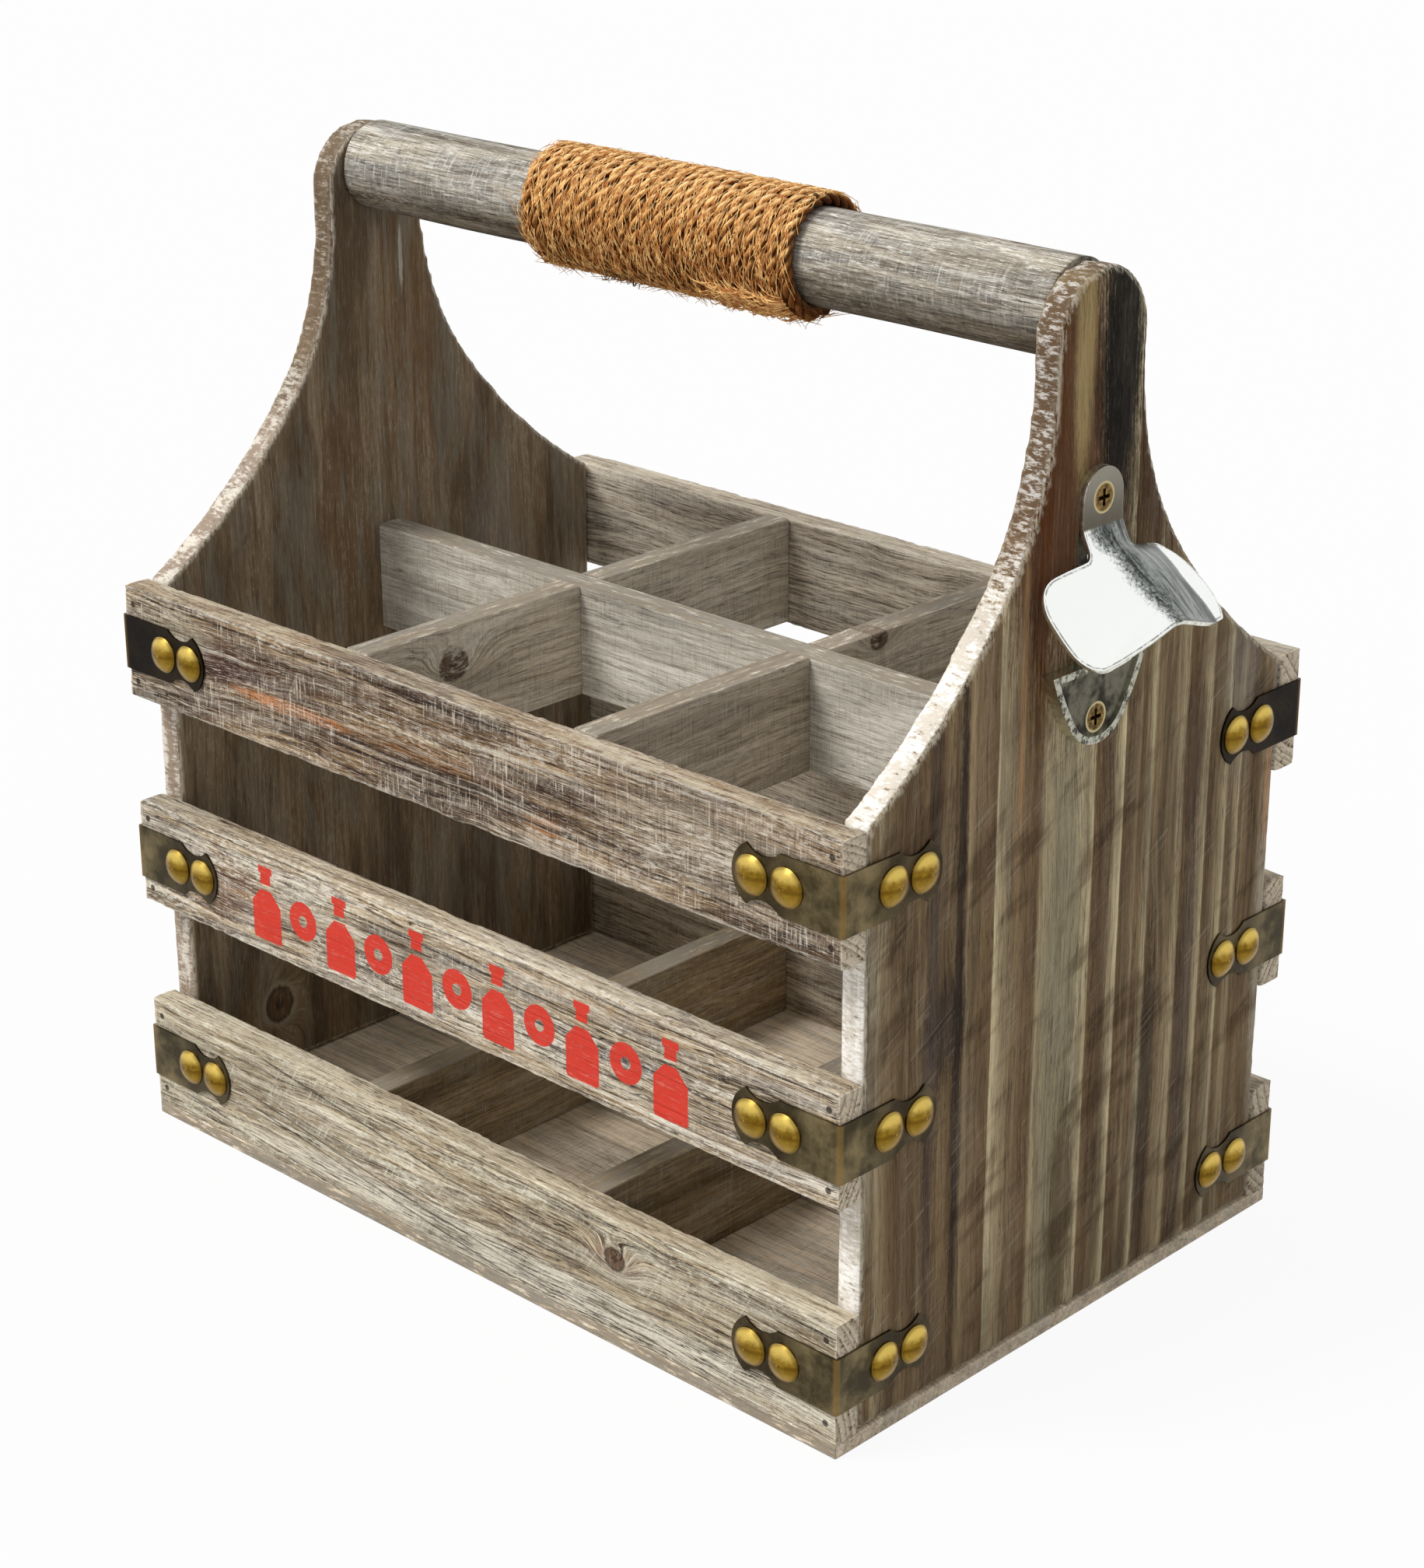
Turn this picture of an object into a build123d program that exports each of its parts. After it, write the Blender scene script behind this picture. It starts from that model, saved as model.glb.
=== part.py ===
from build123d import *
import math
import os

# Bottle caddy of weathered boards: six cells, a rope-wrapped dowel handle and a cap opener.
# Millimetres. The origin is the middle of the base board's underside. X runs along the handle,
# its positive end carries the opener, negative Y is the front, and Z is up.

# Body
body_length = 264.0
body_width = 178.0
board = 8.3
base_thickness = 4.0
bottom_slat_height = 33.0
lower_gap = 30.4
middle_slat_height = 31.2
upper_gap = 31.1
top_slat_height = 32.4
edge_round = 0.5
overrun = 5.0

# End panels
panel_height = 273.5
neck_width = 33.8
neck_straight = 7.1
join_run_share = 0.2555
join_drop_share = 0.5295

# Handle
dowel_diameter = 25.0
dowel_depth_below_top = 11.6
dowel_left_gap = 1.0

# Rope round the handle
rope_diameter = 3.4
rope_pitch = 3.95
rope_turns = 24
rope_middle = -2.0
rope_seat_gap = 0.05
rope_end_angle = 250.0
arcs_per_turn_pairs = 4
rope_checks_per_turn = 24

# Dividers
upper_divider_height = 31.5
lower_divider_height = 31.8
upper_left_cross = 44.0
upper_right_cross = 40.8
lower_left_cross = 43.9
lower_right_cross = 39.2
lap_clearance = 0.15

# Corner straps
strap_leg = 34.0
strap_height = 15.5
strap_thickness = 0.6
strap_straight = 19.0
strap_waist_place = 23.5
strap_waist_height = 11.2
strap_cusp_place = 29.5

# Tacks of the straps
tack_head_diameter = 10.2
tack_head_height = 2.3
tack_rim = 0.3
tack_shank_diameter = 1.8
tack_length = 6.8
tack_point = 1.6
tack_near = 16.8
tack_far = 27.8

# Sunk brads in the wood
brad_diameter = 1.4
brad_head_diameter = 2.4
brad_head_height = 0.8
brad_length = 20.0
brad_point = 1.2
brad_sunk = 0.4
base_brad_length = 13.0
slat_brad_edge = 5.0
slat_brad_end = 3.5
divider_brad_edge = 5.2
handle_brad_shares = ((-0.28, 0.05), (-0.40, -0.22), (0.07, -0.38))
base_brad_shares = (-0.6, -0.2, 0.2, 0.6)
nail_clearance = 0.05

# Cap opener on the right panel
opener_sheet = 1.2
opener_screw_below_top = 54.3
opener_to_front = 1.5
opener_screw_spacing = 54.7
opener_tab_width = 15.2
hood_fold_drop = 6.7
hood_neck_drop = 11.0
hood_neck_reach = 5.4
hood_reach = 26.0
hood_crest_drop = 25.0
hood_width = 51.0
hood_wing_drop = 9.6
hood_back_corner_reach = 2.2
hood_front_corner_reach = 20.8
hood_corner_radius = 5.5
lip_width = 36.0
lip_height = 14.3
lip_reach = 3.5
lip_rim = 1.9
lip_dish = 0.8
lip_tip_drop = 6.5
lip_tip_radius = 12.5
lip_side_bow = 0.5

# Screws of the opener
screw_head_diameter = 7.8
screw_head_height = 2.2
screw_head_edge = 0.3
screw_shank_diameter = 3.5
screw_length = 9.4
screw_point = 2.0
recess_length = 4.2
recess_width = 1.0
recess_depth = 1.4
screw_clearance = 0.1

half_length = body_length / 2
half_width = body_width / 2
inner_length = body_length - 2 * board
inner_half_width = half_width - board
middle_slat_bottom = base_thickness + bottom_slat_height + lower_gap
top_slat_bottom = middle_slat_bottom + middle_slat_height + upper_gap
slat_top = top_slat_bottom + top_slat_height
panel_top = base_thickness + panel_height
dowel_radius = dowel_diameter / 2
dowel_axis_height = panel_top - dowel_depth_below_top
slat_rows = {
    "bottom": (base_thickness, bottom_slat_height),
    "middle": (middle_slat_bottom, middle_slat_height),
    "top": (top_slat_bottom, top_slat_height),
}
sides = {"front": -1, "back": 1}
ends = {"left": -1, "right": 1}


def outline(*edges):
    """A flat face inside the given edges."""
    return make_face(Curve() + list(edges))


def block(length, width, height, x, y, bottom):
    """A box centred on x and y that stands on the height given."""
    return Pos(x, y, bottom + height / 2) * Box(length, width, height)


def plain_board(length, width, height, x, y, bottom):
    """A sawn board whose edges are slightly rounded."""
    raw = block(length, width, height, x, y, bottom)
    return fillet(raw.edges(), edge_round)


def facing(x, y, z, direction):
    """A place on a surface, with local Z along the outward direction."""
    return Location(Plane(origin=(x, y, z), z_dir=direction))


def boxes_meet(one, other):
    """Whether the loose bounding boxes of two pieces meet."""
    a = one.bounding_box(optimal=False)
    b = other.bounding_box(optimal=False)
    return (
        a.min.X < b.max.X and b.min.X < a.max.X
        and a.min.Y < b.max.Y and b.min.Y < a.max.Y
        and a.min.Z < b.max.Z and b.min.Z < a.max.Z
    )


def drilled(piece, drills):
    """The piece with every hole that reaches it."""
    near = [drill for drill in drills if boxes_meet(piece, drill)]
    return piece - near if near else piece


# Nails and screws. Each is made at the origin with its head towards positive Z, and its drill is
# the same shape plus a clearance.

def brad(length):
    """A finishing nail whose head lies below the surface at zero height."""
    head_top = -brad_sunk
    neck = head_top - brad_head_height
    tip = head_top - length
    return revolve(
        Plane.XZ * make_face(Polyline(
            (0, head_top),
            (brad_head_diameter / 2, head_top),
            (brad_head_diameter / 2, neck),
            (brad_diameter / 2, neck),
            (brad_diameter / 2, tip + brad_point),
            (0, tip),
            close=True,
        )),
        Axis.Z,
    )


def brad_drill(length):
    neck = brad_sunk + brad_head_height
    depth = brad_sunk + length + nail_clearance
    wide = Pos(0, 0, overrun / 2 - neck / 2) * Cylinder(brad_head_diameter / 2 + nail_clearance, neck + overrun)
    narrow = Pos(0, 0, -depth / 2) * Cylinder(brad_diameter / 2 + nail_clearance, depth)
    return wide + narrow


def tack():
    """A domed upholstery tack whose head sits on the surface at zero height."""
    head = tack_head_diameter / 2
    shank = tack_shank_diameter / 2
    rise = tack_head_height - tack_rim
    dome_radius = (head**2 + rise**2) / (2 * rise)
    half_angle = math.asin(head / dome_radius) / 2
    dome_middle = (
        dome_radius * math.sin(half_angle),
        tack_head_height - dome_radius * (1 - math.cos(half_angle)),
    )
    return revolve(
        Plane.XZ * outline(
            ThreePointArc((0, tack_head_height), dome_middle, (head, tack_rim)),
            Polyline(
                (head, tack_rim),
                (head, 0),
                (shank, 0),
                (shank, tack_point - tack_length),
                (0, -tack_length),
                (0, tack_head_height),
            ),
        ),
        Axis.Z,
    )


def tack_drill():
    depth = tack_length + nail_clearance
    return Pos(0, 0, (overrun - depth) / 2) * Cylinder(
        tack_shank_diameter / 2 + nail_clearance, depth + overrun
    )


def screw_profile(clearance, top):
    head = screw_head_diameter / 2 + clearance
    shank = screw_shank_diameter / 2 + clearance
    edge = -screw_head_edge
    neck = -screw_head_height
    tip = -screw_length - clearance
    return Plane.XZ * make_face(Polyline(
        (0, top),
        (head, top),
        (head, edge),
        (shank, neck),
        (shank, tip + screw_point),
        (0, tip),
        close=True,
    ))


def screw():
    """A countersunk cross-recess wood screw, its head flush with zero height."""
    body = revolve(screw_profile(0, 0), Axis.Z)
    for turn in (0, 90):
        body -= Rot(0, 0, turn) * Pos(0, 0, -recess_depth / 2) * Box(recess_length, recess_width, recess_depth)
    return body


def screw_drill():
    return revolve(screw_profile(screw_clearance, overrun), Axis.Z)


def fastened(places, nail, drill):
    """The nails at the places, and their drills."""
    return [place * nail for place in places], [place * drill for place in places]


# Places of the nails

board_brad = brad(brad_length)
board_brad_drill = brad_drill(brad_length)
end_x = half_length - slat_brad_end
cross_places = {
    "bottom": (-lower_left_cross, lower_right_cross),
    "top": (-upper_left_cross, upper_right_cross),
}
divider_rows = {
    "lower": (base_thickness, lower_divider_height),
    "upper": (slat_top - upper_divider_height, upper_divider_height),
}

nails = {}
drills = []

for side, sign in sides.items():
    for row, (bottom, height) in slat_rows.items():
        levels = (bottom + slat_brad_edge, bottom + height - slat_brad_edge)
        places = [facing(x, sign * half_width, z, (0, sign, 0)) for x in (-end_x, end_x) for z in levels]
        if row in cross_places:
            divider_bottom, divider_height = divider_rows["lower" if row == "bottom" else "upper"]
            levels = (divider_bottom + divider_brad_edge, divider_bottom + divider_height - divider_brad_edge)
            places += [
                facing(x, sign * half_width, z, (0, sign, 0)) for x in cross_places[row] for z in levels
            ]
        made, cut = fastened(places, board_brad, board_brad_drill)
        nails[f"slat_brads_{side}_{row}"] = made
        drills += cut

for tier, (bottom, height) in divider_rows.items():
    levels = (bottom + divider_brad_edge, bottom + height - divider_brad_edge)
    places = [facing(sign * half_length, 0, z, (sign, 0, 0)) for sign in ends.values() for z in levels]
    made, cut = fastened(places, board_brad, board_brad_drill)
    nails[f"divider_brads_{tier}"] = made
    drills += cut

for end, sign in ends.items():
    places = [
        facing(
            sign * half_length,
            across * dowel_diameter,
            dowel_axis_height + up * dowel_diameter,
            (sign, 0, 0),
        )
        for across, up in handle_brad_shares
    ]
    made, cut = fastened(places, board_brad, board_brad_drill)
    nails[f"handle_brads_{end}"] = made
    drills += cut

base_places = [
    facing(sign * (half_length - board / 2), share * half_width, 0, (0, 0, -1))
    for sign in ends.values()
    for share in base_brad_shares
]
base_places += [
    facing(share * half_length, sign * (half_width - board / 2), 0, (0, 0, -1))
    for sign in sides.values()
    for share in base_brad_shares
]
made, cut = fastened(base_places, brad(base_brad_length), brad_drill(base_brad_length))
nails["base_brads"] = made
drills += cut

# Corner straps. A strap is drawn on its front leg, from the corner, and its side leg is the same.

def strap_leg_outline():
    half = strap_height / 2
    waist = strap_waist_height / 2
    return outline(
        Line((0, -half), (0, half)),
        Line((0, half), (strap_straight, half)),
        ThreePointArc((strap_straight, half), (strap_waist_place, waist), (strap_cusp_place, half)),
        ThreePointArc((strap_cusp_place, half), (strap_leg, 0), (strap_cusp_place, -half)),
        ThreePointArc((strap_cusp_place, -half), (strap_waist_place, -waist), (strap_straight, -half)),
        Line((strap_straight, -half), (0, -half)),
    )


def strap():
    """A bent strap at the corner where X and Y are zero, its legs along negative X and positive Y."""
    leg = extrude(strap_leg_outline(), strap_thickness)
    front_leg = Location(Plane(origin=(0, 0, 0), x_dir=(-1, 0, 0), z_dir=(0, -1, 0))) * leg
    side_leg = Location(Plane(origin=(0, 0, 0), x_dir=(0, 1, 0), z_dir=(1, 0, 0))) * leg
    bend = Cylinder(strap_thickness, strap_height) & Pos(
        strap_thickness / 2, -strap_thickness / 2, 0
    ) * Box(strap_thickness, strap_thickness, strap_height)
    return front_leg + side_leg + bend


def tack_places():
    front = [facing(-along, -strap_thickness, 0, (0, -1, 0)) for along in (tack_near, tack_far)]
    side = [facing(strap_thickness, along, 0, (1, 0, 0)) for along in (tack_near, tack_far)]
    return front + side


corner_strap = strap()
corner_places = {
    ("front", "right"): Pos(half_length, -half_width, 0),
    ("back", "right"): Pos(half_length, half_width, 0) * Rot(0, 0, 90),
    ("back", "left"): Pos(-half_length, half_width, 0) * Rot(0, 0, 180),
    ("front", "left"): Pos(-half_length, -half_width, 0) * Rot(0, 0, 270),
}
straps = {}
for (side, end), corner in corner_places.items():
    for row, (bottom, height) in slat_rows.items():
        place = Pos(0, 0, bottom + height / 2) * corner
        made, cut = fastened([place * spot for spot in tack_places()], tack(), tack_drill())
        nails[f"strap_tacks_{side}_{end}_{row}"] = made
        drills += cut
        straps[f"corner_strap_{side}_{end}_{row}"] = drilled(place * corner_strap, cut)

# Cap opener. Heights and reaches are measured from the upper screw and from the panel's face.

lip_top = -opener_screw_spacing + lip_height
opener_place = Pos(half_length, -opener_to_front, panel_top - opener_screw_below_top)
tab_half = opener_tab_width / 2


def tab_outline(bottom):
    return outline(
        Line((-tab_half, bottom), (-tab_half, 0)),
        ThreePointArc((-tab_half, 0), (0, tab_half), (tab_half, 0)),
        Line((tab_half, 0), (tab_half, bottom)),
        Line((tab_half, bottom), (-tab_half, bottom)),
    )


def lip_outline():
    """The lower plate: a level top edge, bowed sides and a round tip below the lower screw."""
    half = lip_width / 2
    tip = -opener_screw_spacing - lip_tip_drop
    centre = tip + lip_tip_radius
    rise = lip_top - centre
    angle = math.atan2(rise, half) - math.acos(lip_tip_radius / math.hypot(half, rise))
    touch = (lip_tip_radius * math.cos(angle), centre + lip_tip_radius * math.sin(angle))
    middle = (
        (half + touch[0]) / 2 + lip_side_bow * math.cos(angle),
        (lip_top + touch[1]) / 2 + lip_side_bow * math.sin(angle),
    )
    return outline(
        Line((-half, lip_top), (half, lip_top)),
        ThreePointArc((half, lip_top), middle, touch),
        ThreePointArc(touch, (0, tip), (-touch[0], touch[1])),
        ThreePointArc((-touch[0], touch[1]), (-middle[0], middle[1]), (-half, lip_top)),
    )


def opener_backplate():
    web = extrude(tab_outline(lip_top - opener_sheet), opener_sheet)
    lip = extrude(lip_outline(), lip_reach)
    dish = Pos(0, 0, lip_reach - lip_dish) * extrude(offset(lip_outline(), -lip_rim), lip_dish)
    hollow = extrude(offset(lip_outline(), -opener_sheet), lip_reach - lip_dish - opener_sheet)
    return Plane.YZ.location * (web + (lip - dish - hollow))


def hood_section():
    """The hood seen along X at the crest's height: a level crest and wings that curve down."""
    half = hood_width / 2
    run = half - tab_half
    radius = (run**2 + hood_wing_drop**2) / (2 * hood_wing_drop)
    inner_radius = radius - opener_sheet
    inner_half = tab_half + math.sqrt(inner_radius**2 - (radius - hood_wing_drop) ** 2)
    return outline(
        Line((-tab_half, 0), (tab_half, 0)),
        TangentArc((tab_half, 0), (half, -hood_wing_drop), tangent=(1, 0)),
        Line((half, -hood_wing_drop), (inner_half, -hood_wing_drop)),
        TangentArc((tab_half, -opener_sheet), (inner_half, -hood_wing_drop), tangent=(1, 0)),
        Line((tab_half, -opener_sheet), (-tab_half, -opener_sheet)),
        TangentArc((-tab_half, -opener_sheet), (-inner_half, -hood_wing_drop), tangent=(-1, 0)),
        Line((-inner_half, -hood_wing_drop), (-half, -hood_wing_drop)),
        TangentArc((-tab_half, 0), (-half, -hood_wing_drop), tangent=(-1, 0)),
    )


def hood_plan():
    """The hood seen from above: a narrow neck, swept-back shoulders and a bowed front."""
    half = hood_width / 2
    back = hood_neck_reach
    shape = outline(
        Polyline(
            (hood_front_corner_reach, half),
            (hood_back_corner_reach, half),
            (back, tab_half),
            (back, -tab_half),
            (hood_back_corner_reach, -half),
            (hood_front_corner_reach, -half),
        ),
        ThreePointArc((hood_front_corner_reach, -half), (hood_reach, 0), (hood_front_corner_reach, half)),
    )
    corners = [point for point in shape.vertices() if abs(point.Y) > tab_half + hood_corner_radius / 2]
    return fillet(corners, hood_corner_radius)


def opener_hood():
    tab = Pos(opener_sheet, 0, 0) * (Plane.YZ.location * extrude(tab_outline(-hood_fold_drop), opener_sheet))
    inner = opener_sheet
    outer = 2 * opener_sheet
    neck = extrude(
        Plane.XZ * make_face(Polyline(
            (inner, -hood_fold_drop),
            (outer, -hood_fold_drop),
            (hood_neck_reach, -hood_neck_drop),
            (hood_neck_reach, -hood_neck_drop - opener_sheet),
            (inner, -hood_fold_drop - opener_sheet),
            close=True,
        )),
        tab_half,
        both=True,
    )
    run = hood_reach - hood_neck_reach
    fall = hood_crest_drop - hood_neck_drop
    slope = fall / run
    back = hood_back_corner_reach - hood_neck_reach
    start = Pos(hood_back_corner_reach, 0, -hood_neck_drop - back * slope)
    sheet = extrude(
        start * (Plane.YZ.location * hood_section()),
        math.hypot(run - back, (run - back) * slope),
        dir=(run, 0, -fall),
    )
    plan = Pos(0, 0, -hood_crest_drop - hood_width) * extrude(hood_plan(), 2 * hood_width)
    return tab + neck + (sheet & plan)


screw_place = Location(Plane(origin=(0, 0, 0), z_dir=(1, 0, 0)))
upper_screw_place = opener_place * Pos(2 * opener_sheet, 0, 0) * screw_place
lower_screw_place = opener_place * Pos(lip_reach - lip_dish, 0, -opener_screw_spacing) * screw_place
screws = {
    "opener_screw_upper": upper_screw_place * screw(),
    "opener_screw_lower": lower_screw_place * screw(),
}
screw_drills = [upper_screw_place * screw_drill(), lower_screw_place * screw_drill()]
drills += screw_drills


# Wood

def end_panel(sign):
    """A board with straight sides up to the slats' top, concave shoulders, a neck and a round top."""
    half = inner_half_width
    neck = neck_width / 2
    arch_centre = panel_top - neck
    neck_start = arch_centre - neck_straight
    join = (
        neck + join_run_share * (half - neck),
        neck_start - join_drop_share * (neck_start - slat_top),
    )
    upper = TangentArc((neck, neck_start), join, tangent=(0, -1))
    lower = TangentArc(join, (half, slat_top), tangent=upper % 1)
    right = [
        Line((half, base_thickness), (half, slat_top)),
        lower,
        upper,
        Line((neck, neck_start), (neck, arch_centre)),
    ]
    left = [mirror(edge, Plane.YZ) for edge in right]
    arch = ThreePointArc((neck, arch_centre), (0, panel_top), (-neck, arch_centre))
    foot = Line((-half, base_thickness), (half, base_thickness))
    raw = extrude(outline(*right, *left, arch, foot), board)
    raw = fillet(raw.edges(), edge_round)
    inner_face = sign * half_length - (board if sign > 0 else 0)
    return Pos(inner_face, 0, 0) * (Plane.YZ.location * raw)


def slat(sign, bottom, height):
    return plain_board(body_length, board, height, 0, sign * (half_width - board / 2), bottom)


def divider_set(tier, left_cross, right_cross):
    """One long board and two crossing boards, half-lapped: the long one is whole on top."""
    bottom, height = divider_rows[tier]
    half_height = height / 2
    slot = board + 2 * lap_clearance
    crossings = {"left": -left_cross, "right": right_cross}
    long_board = plain_board(inner_length, board, height, 0, 0, bottom)
    pieces = {}
    for name, x in crossings.items():
        long_board -= block(slot, slot, half_height + overrun, x, 0, bottom - overrun)
        cross = plain_board(board, 2 * inner_half_width, height, x, 0, bottom)
        cross -= block(slot, slot, half_height + overrun, x, 0, bottom + half_height)
        pieces[f"{tier}_divider_cross_{name}"] = cross
    pieces[f"{tier}_divider_long"] = long_board
    return pieces


wood = {"base_board": plain_board(body_length, body_width, base_thickness, 0, 0, 0)}
for end, sign in ends.items():
    wood[f"end_panel_{end}"] = end_panel(sign)
for side, sign in sides.items():
    for row, (bottom, height) in slat_rows.items():
        wood[f"{side}_slat_{row}"] = slat(sign, bottom, height)
wood.update(divider_set("upper", upper_left_cross, upper_right_cross))
wood.update(divider_set("lower", lower_left_cross, lower_right_cross))

dowel_length = inner_length - dowel_left_gap
wood["handle_dowel"] = Pos(dowel_left_gap / 2, 0, dowel_axis_height) * (
    Rot(0, 90, 0) * Cylinder(dowel_radius, dowel_length)
)

# Rope. Its centre line is a helix of arc pairs, and each end runs straight for one diameter.

rope_radius = rope_diameter / 2
coil_radius = dowel_radius + rope_seat_gap + rope_radius
rope_start = rope_middle - rope_turns * rope_pitch / 2


def rope_point(turn):
    angle = math.radians(rope_end_angle) + 2 * math.pi * turn
    return Vector(
        rope_start + rope_pitch * turn,
        coil_radius * math.cos(angle),
        dowel_axis_height + coil_radius * math.sin(angle),
    )


def rope_direction(turn):
    angle = math.radians(rope_end_angle) + 2 * math.pi * turn
    sweep_length = 2 * math.pi * coil_radius
    return Vector(rope_pitch, -sweep_length * math.sin(angle), sweep_length * math.cos(angle)).normalized()


def arc_pair(start, start_direction, end, end_direction):
    """Two tangent arcs from start to end that keep the direction at both."""
    reach = end - start
    both = start_direction + end_direction
    a = 2 * (start_direction.dot(end_direction) - 1)
    b = -2 * reach.dot(both)
    c = reach.dot(reach)
    handle = (-b - math.sqrt(b * b - 4 * a * c)) / (2 * a)
    middle = (start + start_direction * handle + end - end_direction * handle) / 2
    first = TangentArc(start, middle, tangent=start_direction)
    return [first, TangentArc(middle, end, tangent=first % 1)]


def rope_winding():
    quarter = 1 / arcs_per_turn_pairs
    first = rope_point(0)
    first_direction = rope_direction(0)
    last = rope_point(rope_turns)
    path = [Line(first - first_direction * rope_diameter, first)]
    for step in range(rope_turns * arcs_per_turn_pairs):
        turn = step * quarter
        path += arc_pair(
            rope_point(turn), rope_direction(turn), rope_point(turn + quarter), rope_direction(turn + quarter)
        )
    path.append(Line(last, last + rope_direction(rope_turns) * rope_diameter))
    wire = Wire([edge for piece in path for edge in piece.edges()])
    start = Plane(origin=wire @ 0, z_dir=wire % 0)
    return sweep(start * Circle(rope_radius), path=wire), wire


def least_gap(wire):
    """The least free space between stretches of the rope at least half a turn apart."""
    count = rope_turns * rope_checks_per_turn
    points = [wire @ (step / count) for step in range(count + 1)]
    apart = rope_checks_per_turn // 2
    near = 2 * rope_checks_per_turn
    distances = [
        (points[i] - points[j]).length
        for i in range(len(points))
        for j in range(i + apart, min(i + near, len(points)))
    ]
    return min(distances) - rope_diameter


winding, rope_wire = rope_winding()
print(f"rope: {rope_turns} turns, {rope_wire.length:.0f} mm long, least gap to itself {least_gap(rope_wire):.2f} mm")
print(f"rope volume over section times length: {winding.volume / (math.pi * rope_radius**2 * rope_wire.length):.4f}")

# Files

os.makedirs("parts", exist_ok=True)
for name, piece in wood.items():
    export_step(drilled(piece, drills), f"parts/{name}.step")
for name, piece in straps.items():
    export_step(piece, f"parts/{name}.step")
for name, piece in screws.items():
    export_step(piece, f"parts/{name}.step")
for name, group in nails.items():
    export_step(Compound(group), f"parts/{name}.step")
export_step(drilled(opener_place * opener_backplate(), screw_drills), "parts/opener_backplate.step")
export_step(drilled(opener_place * opener_hood(), screw_drills), "parts/opener_hood.step")
export_step(winding, "parts/rope_winding.step")
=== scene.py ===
import math
import random

import bmesh
import bpy
from mathutils import Matrix, Vector, kdtree, noise


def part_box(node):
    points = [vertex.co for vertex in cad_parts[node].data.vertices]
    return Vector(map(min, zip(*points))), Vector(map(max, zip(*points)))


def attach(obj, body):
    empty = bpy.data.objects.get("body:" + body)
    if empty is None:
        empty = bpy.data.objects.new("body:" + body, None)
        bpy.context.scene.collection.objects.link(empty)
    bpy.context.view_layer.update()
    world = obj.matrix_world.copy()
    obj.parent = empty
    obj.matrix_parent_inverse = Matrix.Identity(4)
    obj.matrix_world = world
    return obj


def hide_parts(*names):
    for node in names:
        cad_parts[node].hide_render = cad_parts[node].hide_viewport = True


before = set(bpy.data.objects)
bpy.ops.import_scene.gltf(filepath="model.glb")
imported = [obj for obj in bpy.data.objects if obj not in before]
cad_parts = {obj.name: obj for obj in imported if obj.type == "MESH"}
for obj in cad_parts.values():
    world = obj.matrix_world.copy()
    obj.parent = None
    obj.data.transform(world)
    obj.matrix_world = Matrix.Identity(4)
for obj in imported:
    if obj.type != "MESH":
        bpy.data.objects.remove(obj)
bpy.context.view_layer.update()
scene = bpy.context.scene


# The picture: the caddy stands on a white floor and is seen from its right front corner, a little
# from above. A soft key lamp stands at the front left, and the white room fills the rest.
photo_height = 2016
focal_pixels = 4258
view_yaw, view_pitch, view_roll = (math.radians(angle) for angle in (43.77, 21.84, -0.12))
camera_place = Vector((0.5817, -0.6010, 0.4488))

forward = Vector((
    -math.sin(view_yaw) * math.cos(view_pitch),
    math.cos(view_yaw) * math.cos(view_pitch),
    -math.sin(view_pitch),
))
level_right = Vector((math.cos(view_yaw), math.sin(view_yaw), 0))
level_up = level_right.cross(forward)
right = level_right * math.cos(view_roll) + level_up * math.sin(view_roll)
up = right.cross(forward)
camera = bpy.data.objects.new("camera", bpy.data.cameras.new("camera"))
camera.data.sensor_width = 36
camera.data.lens = 36 * focal_pixels / photo_height
camera.data.clip_start, camera.data.clip_end = 0.02, 30
camera.matrix_world = Matrix.Translation(camera_place) @ Matrix(
    (right, up, -forward)
).transposed().to_4x4()
scene.collection.objects.link(camera)
scene.camera = camera
scene.view_settings.view_transform = "Standard"


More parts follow.
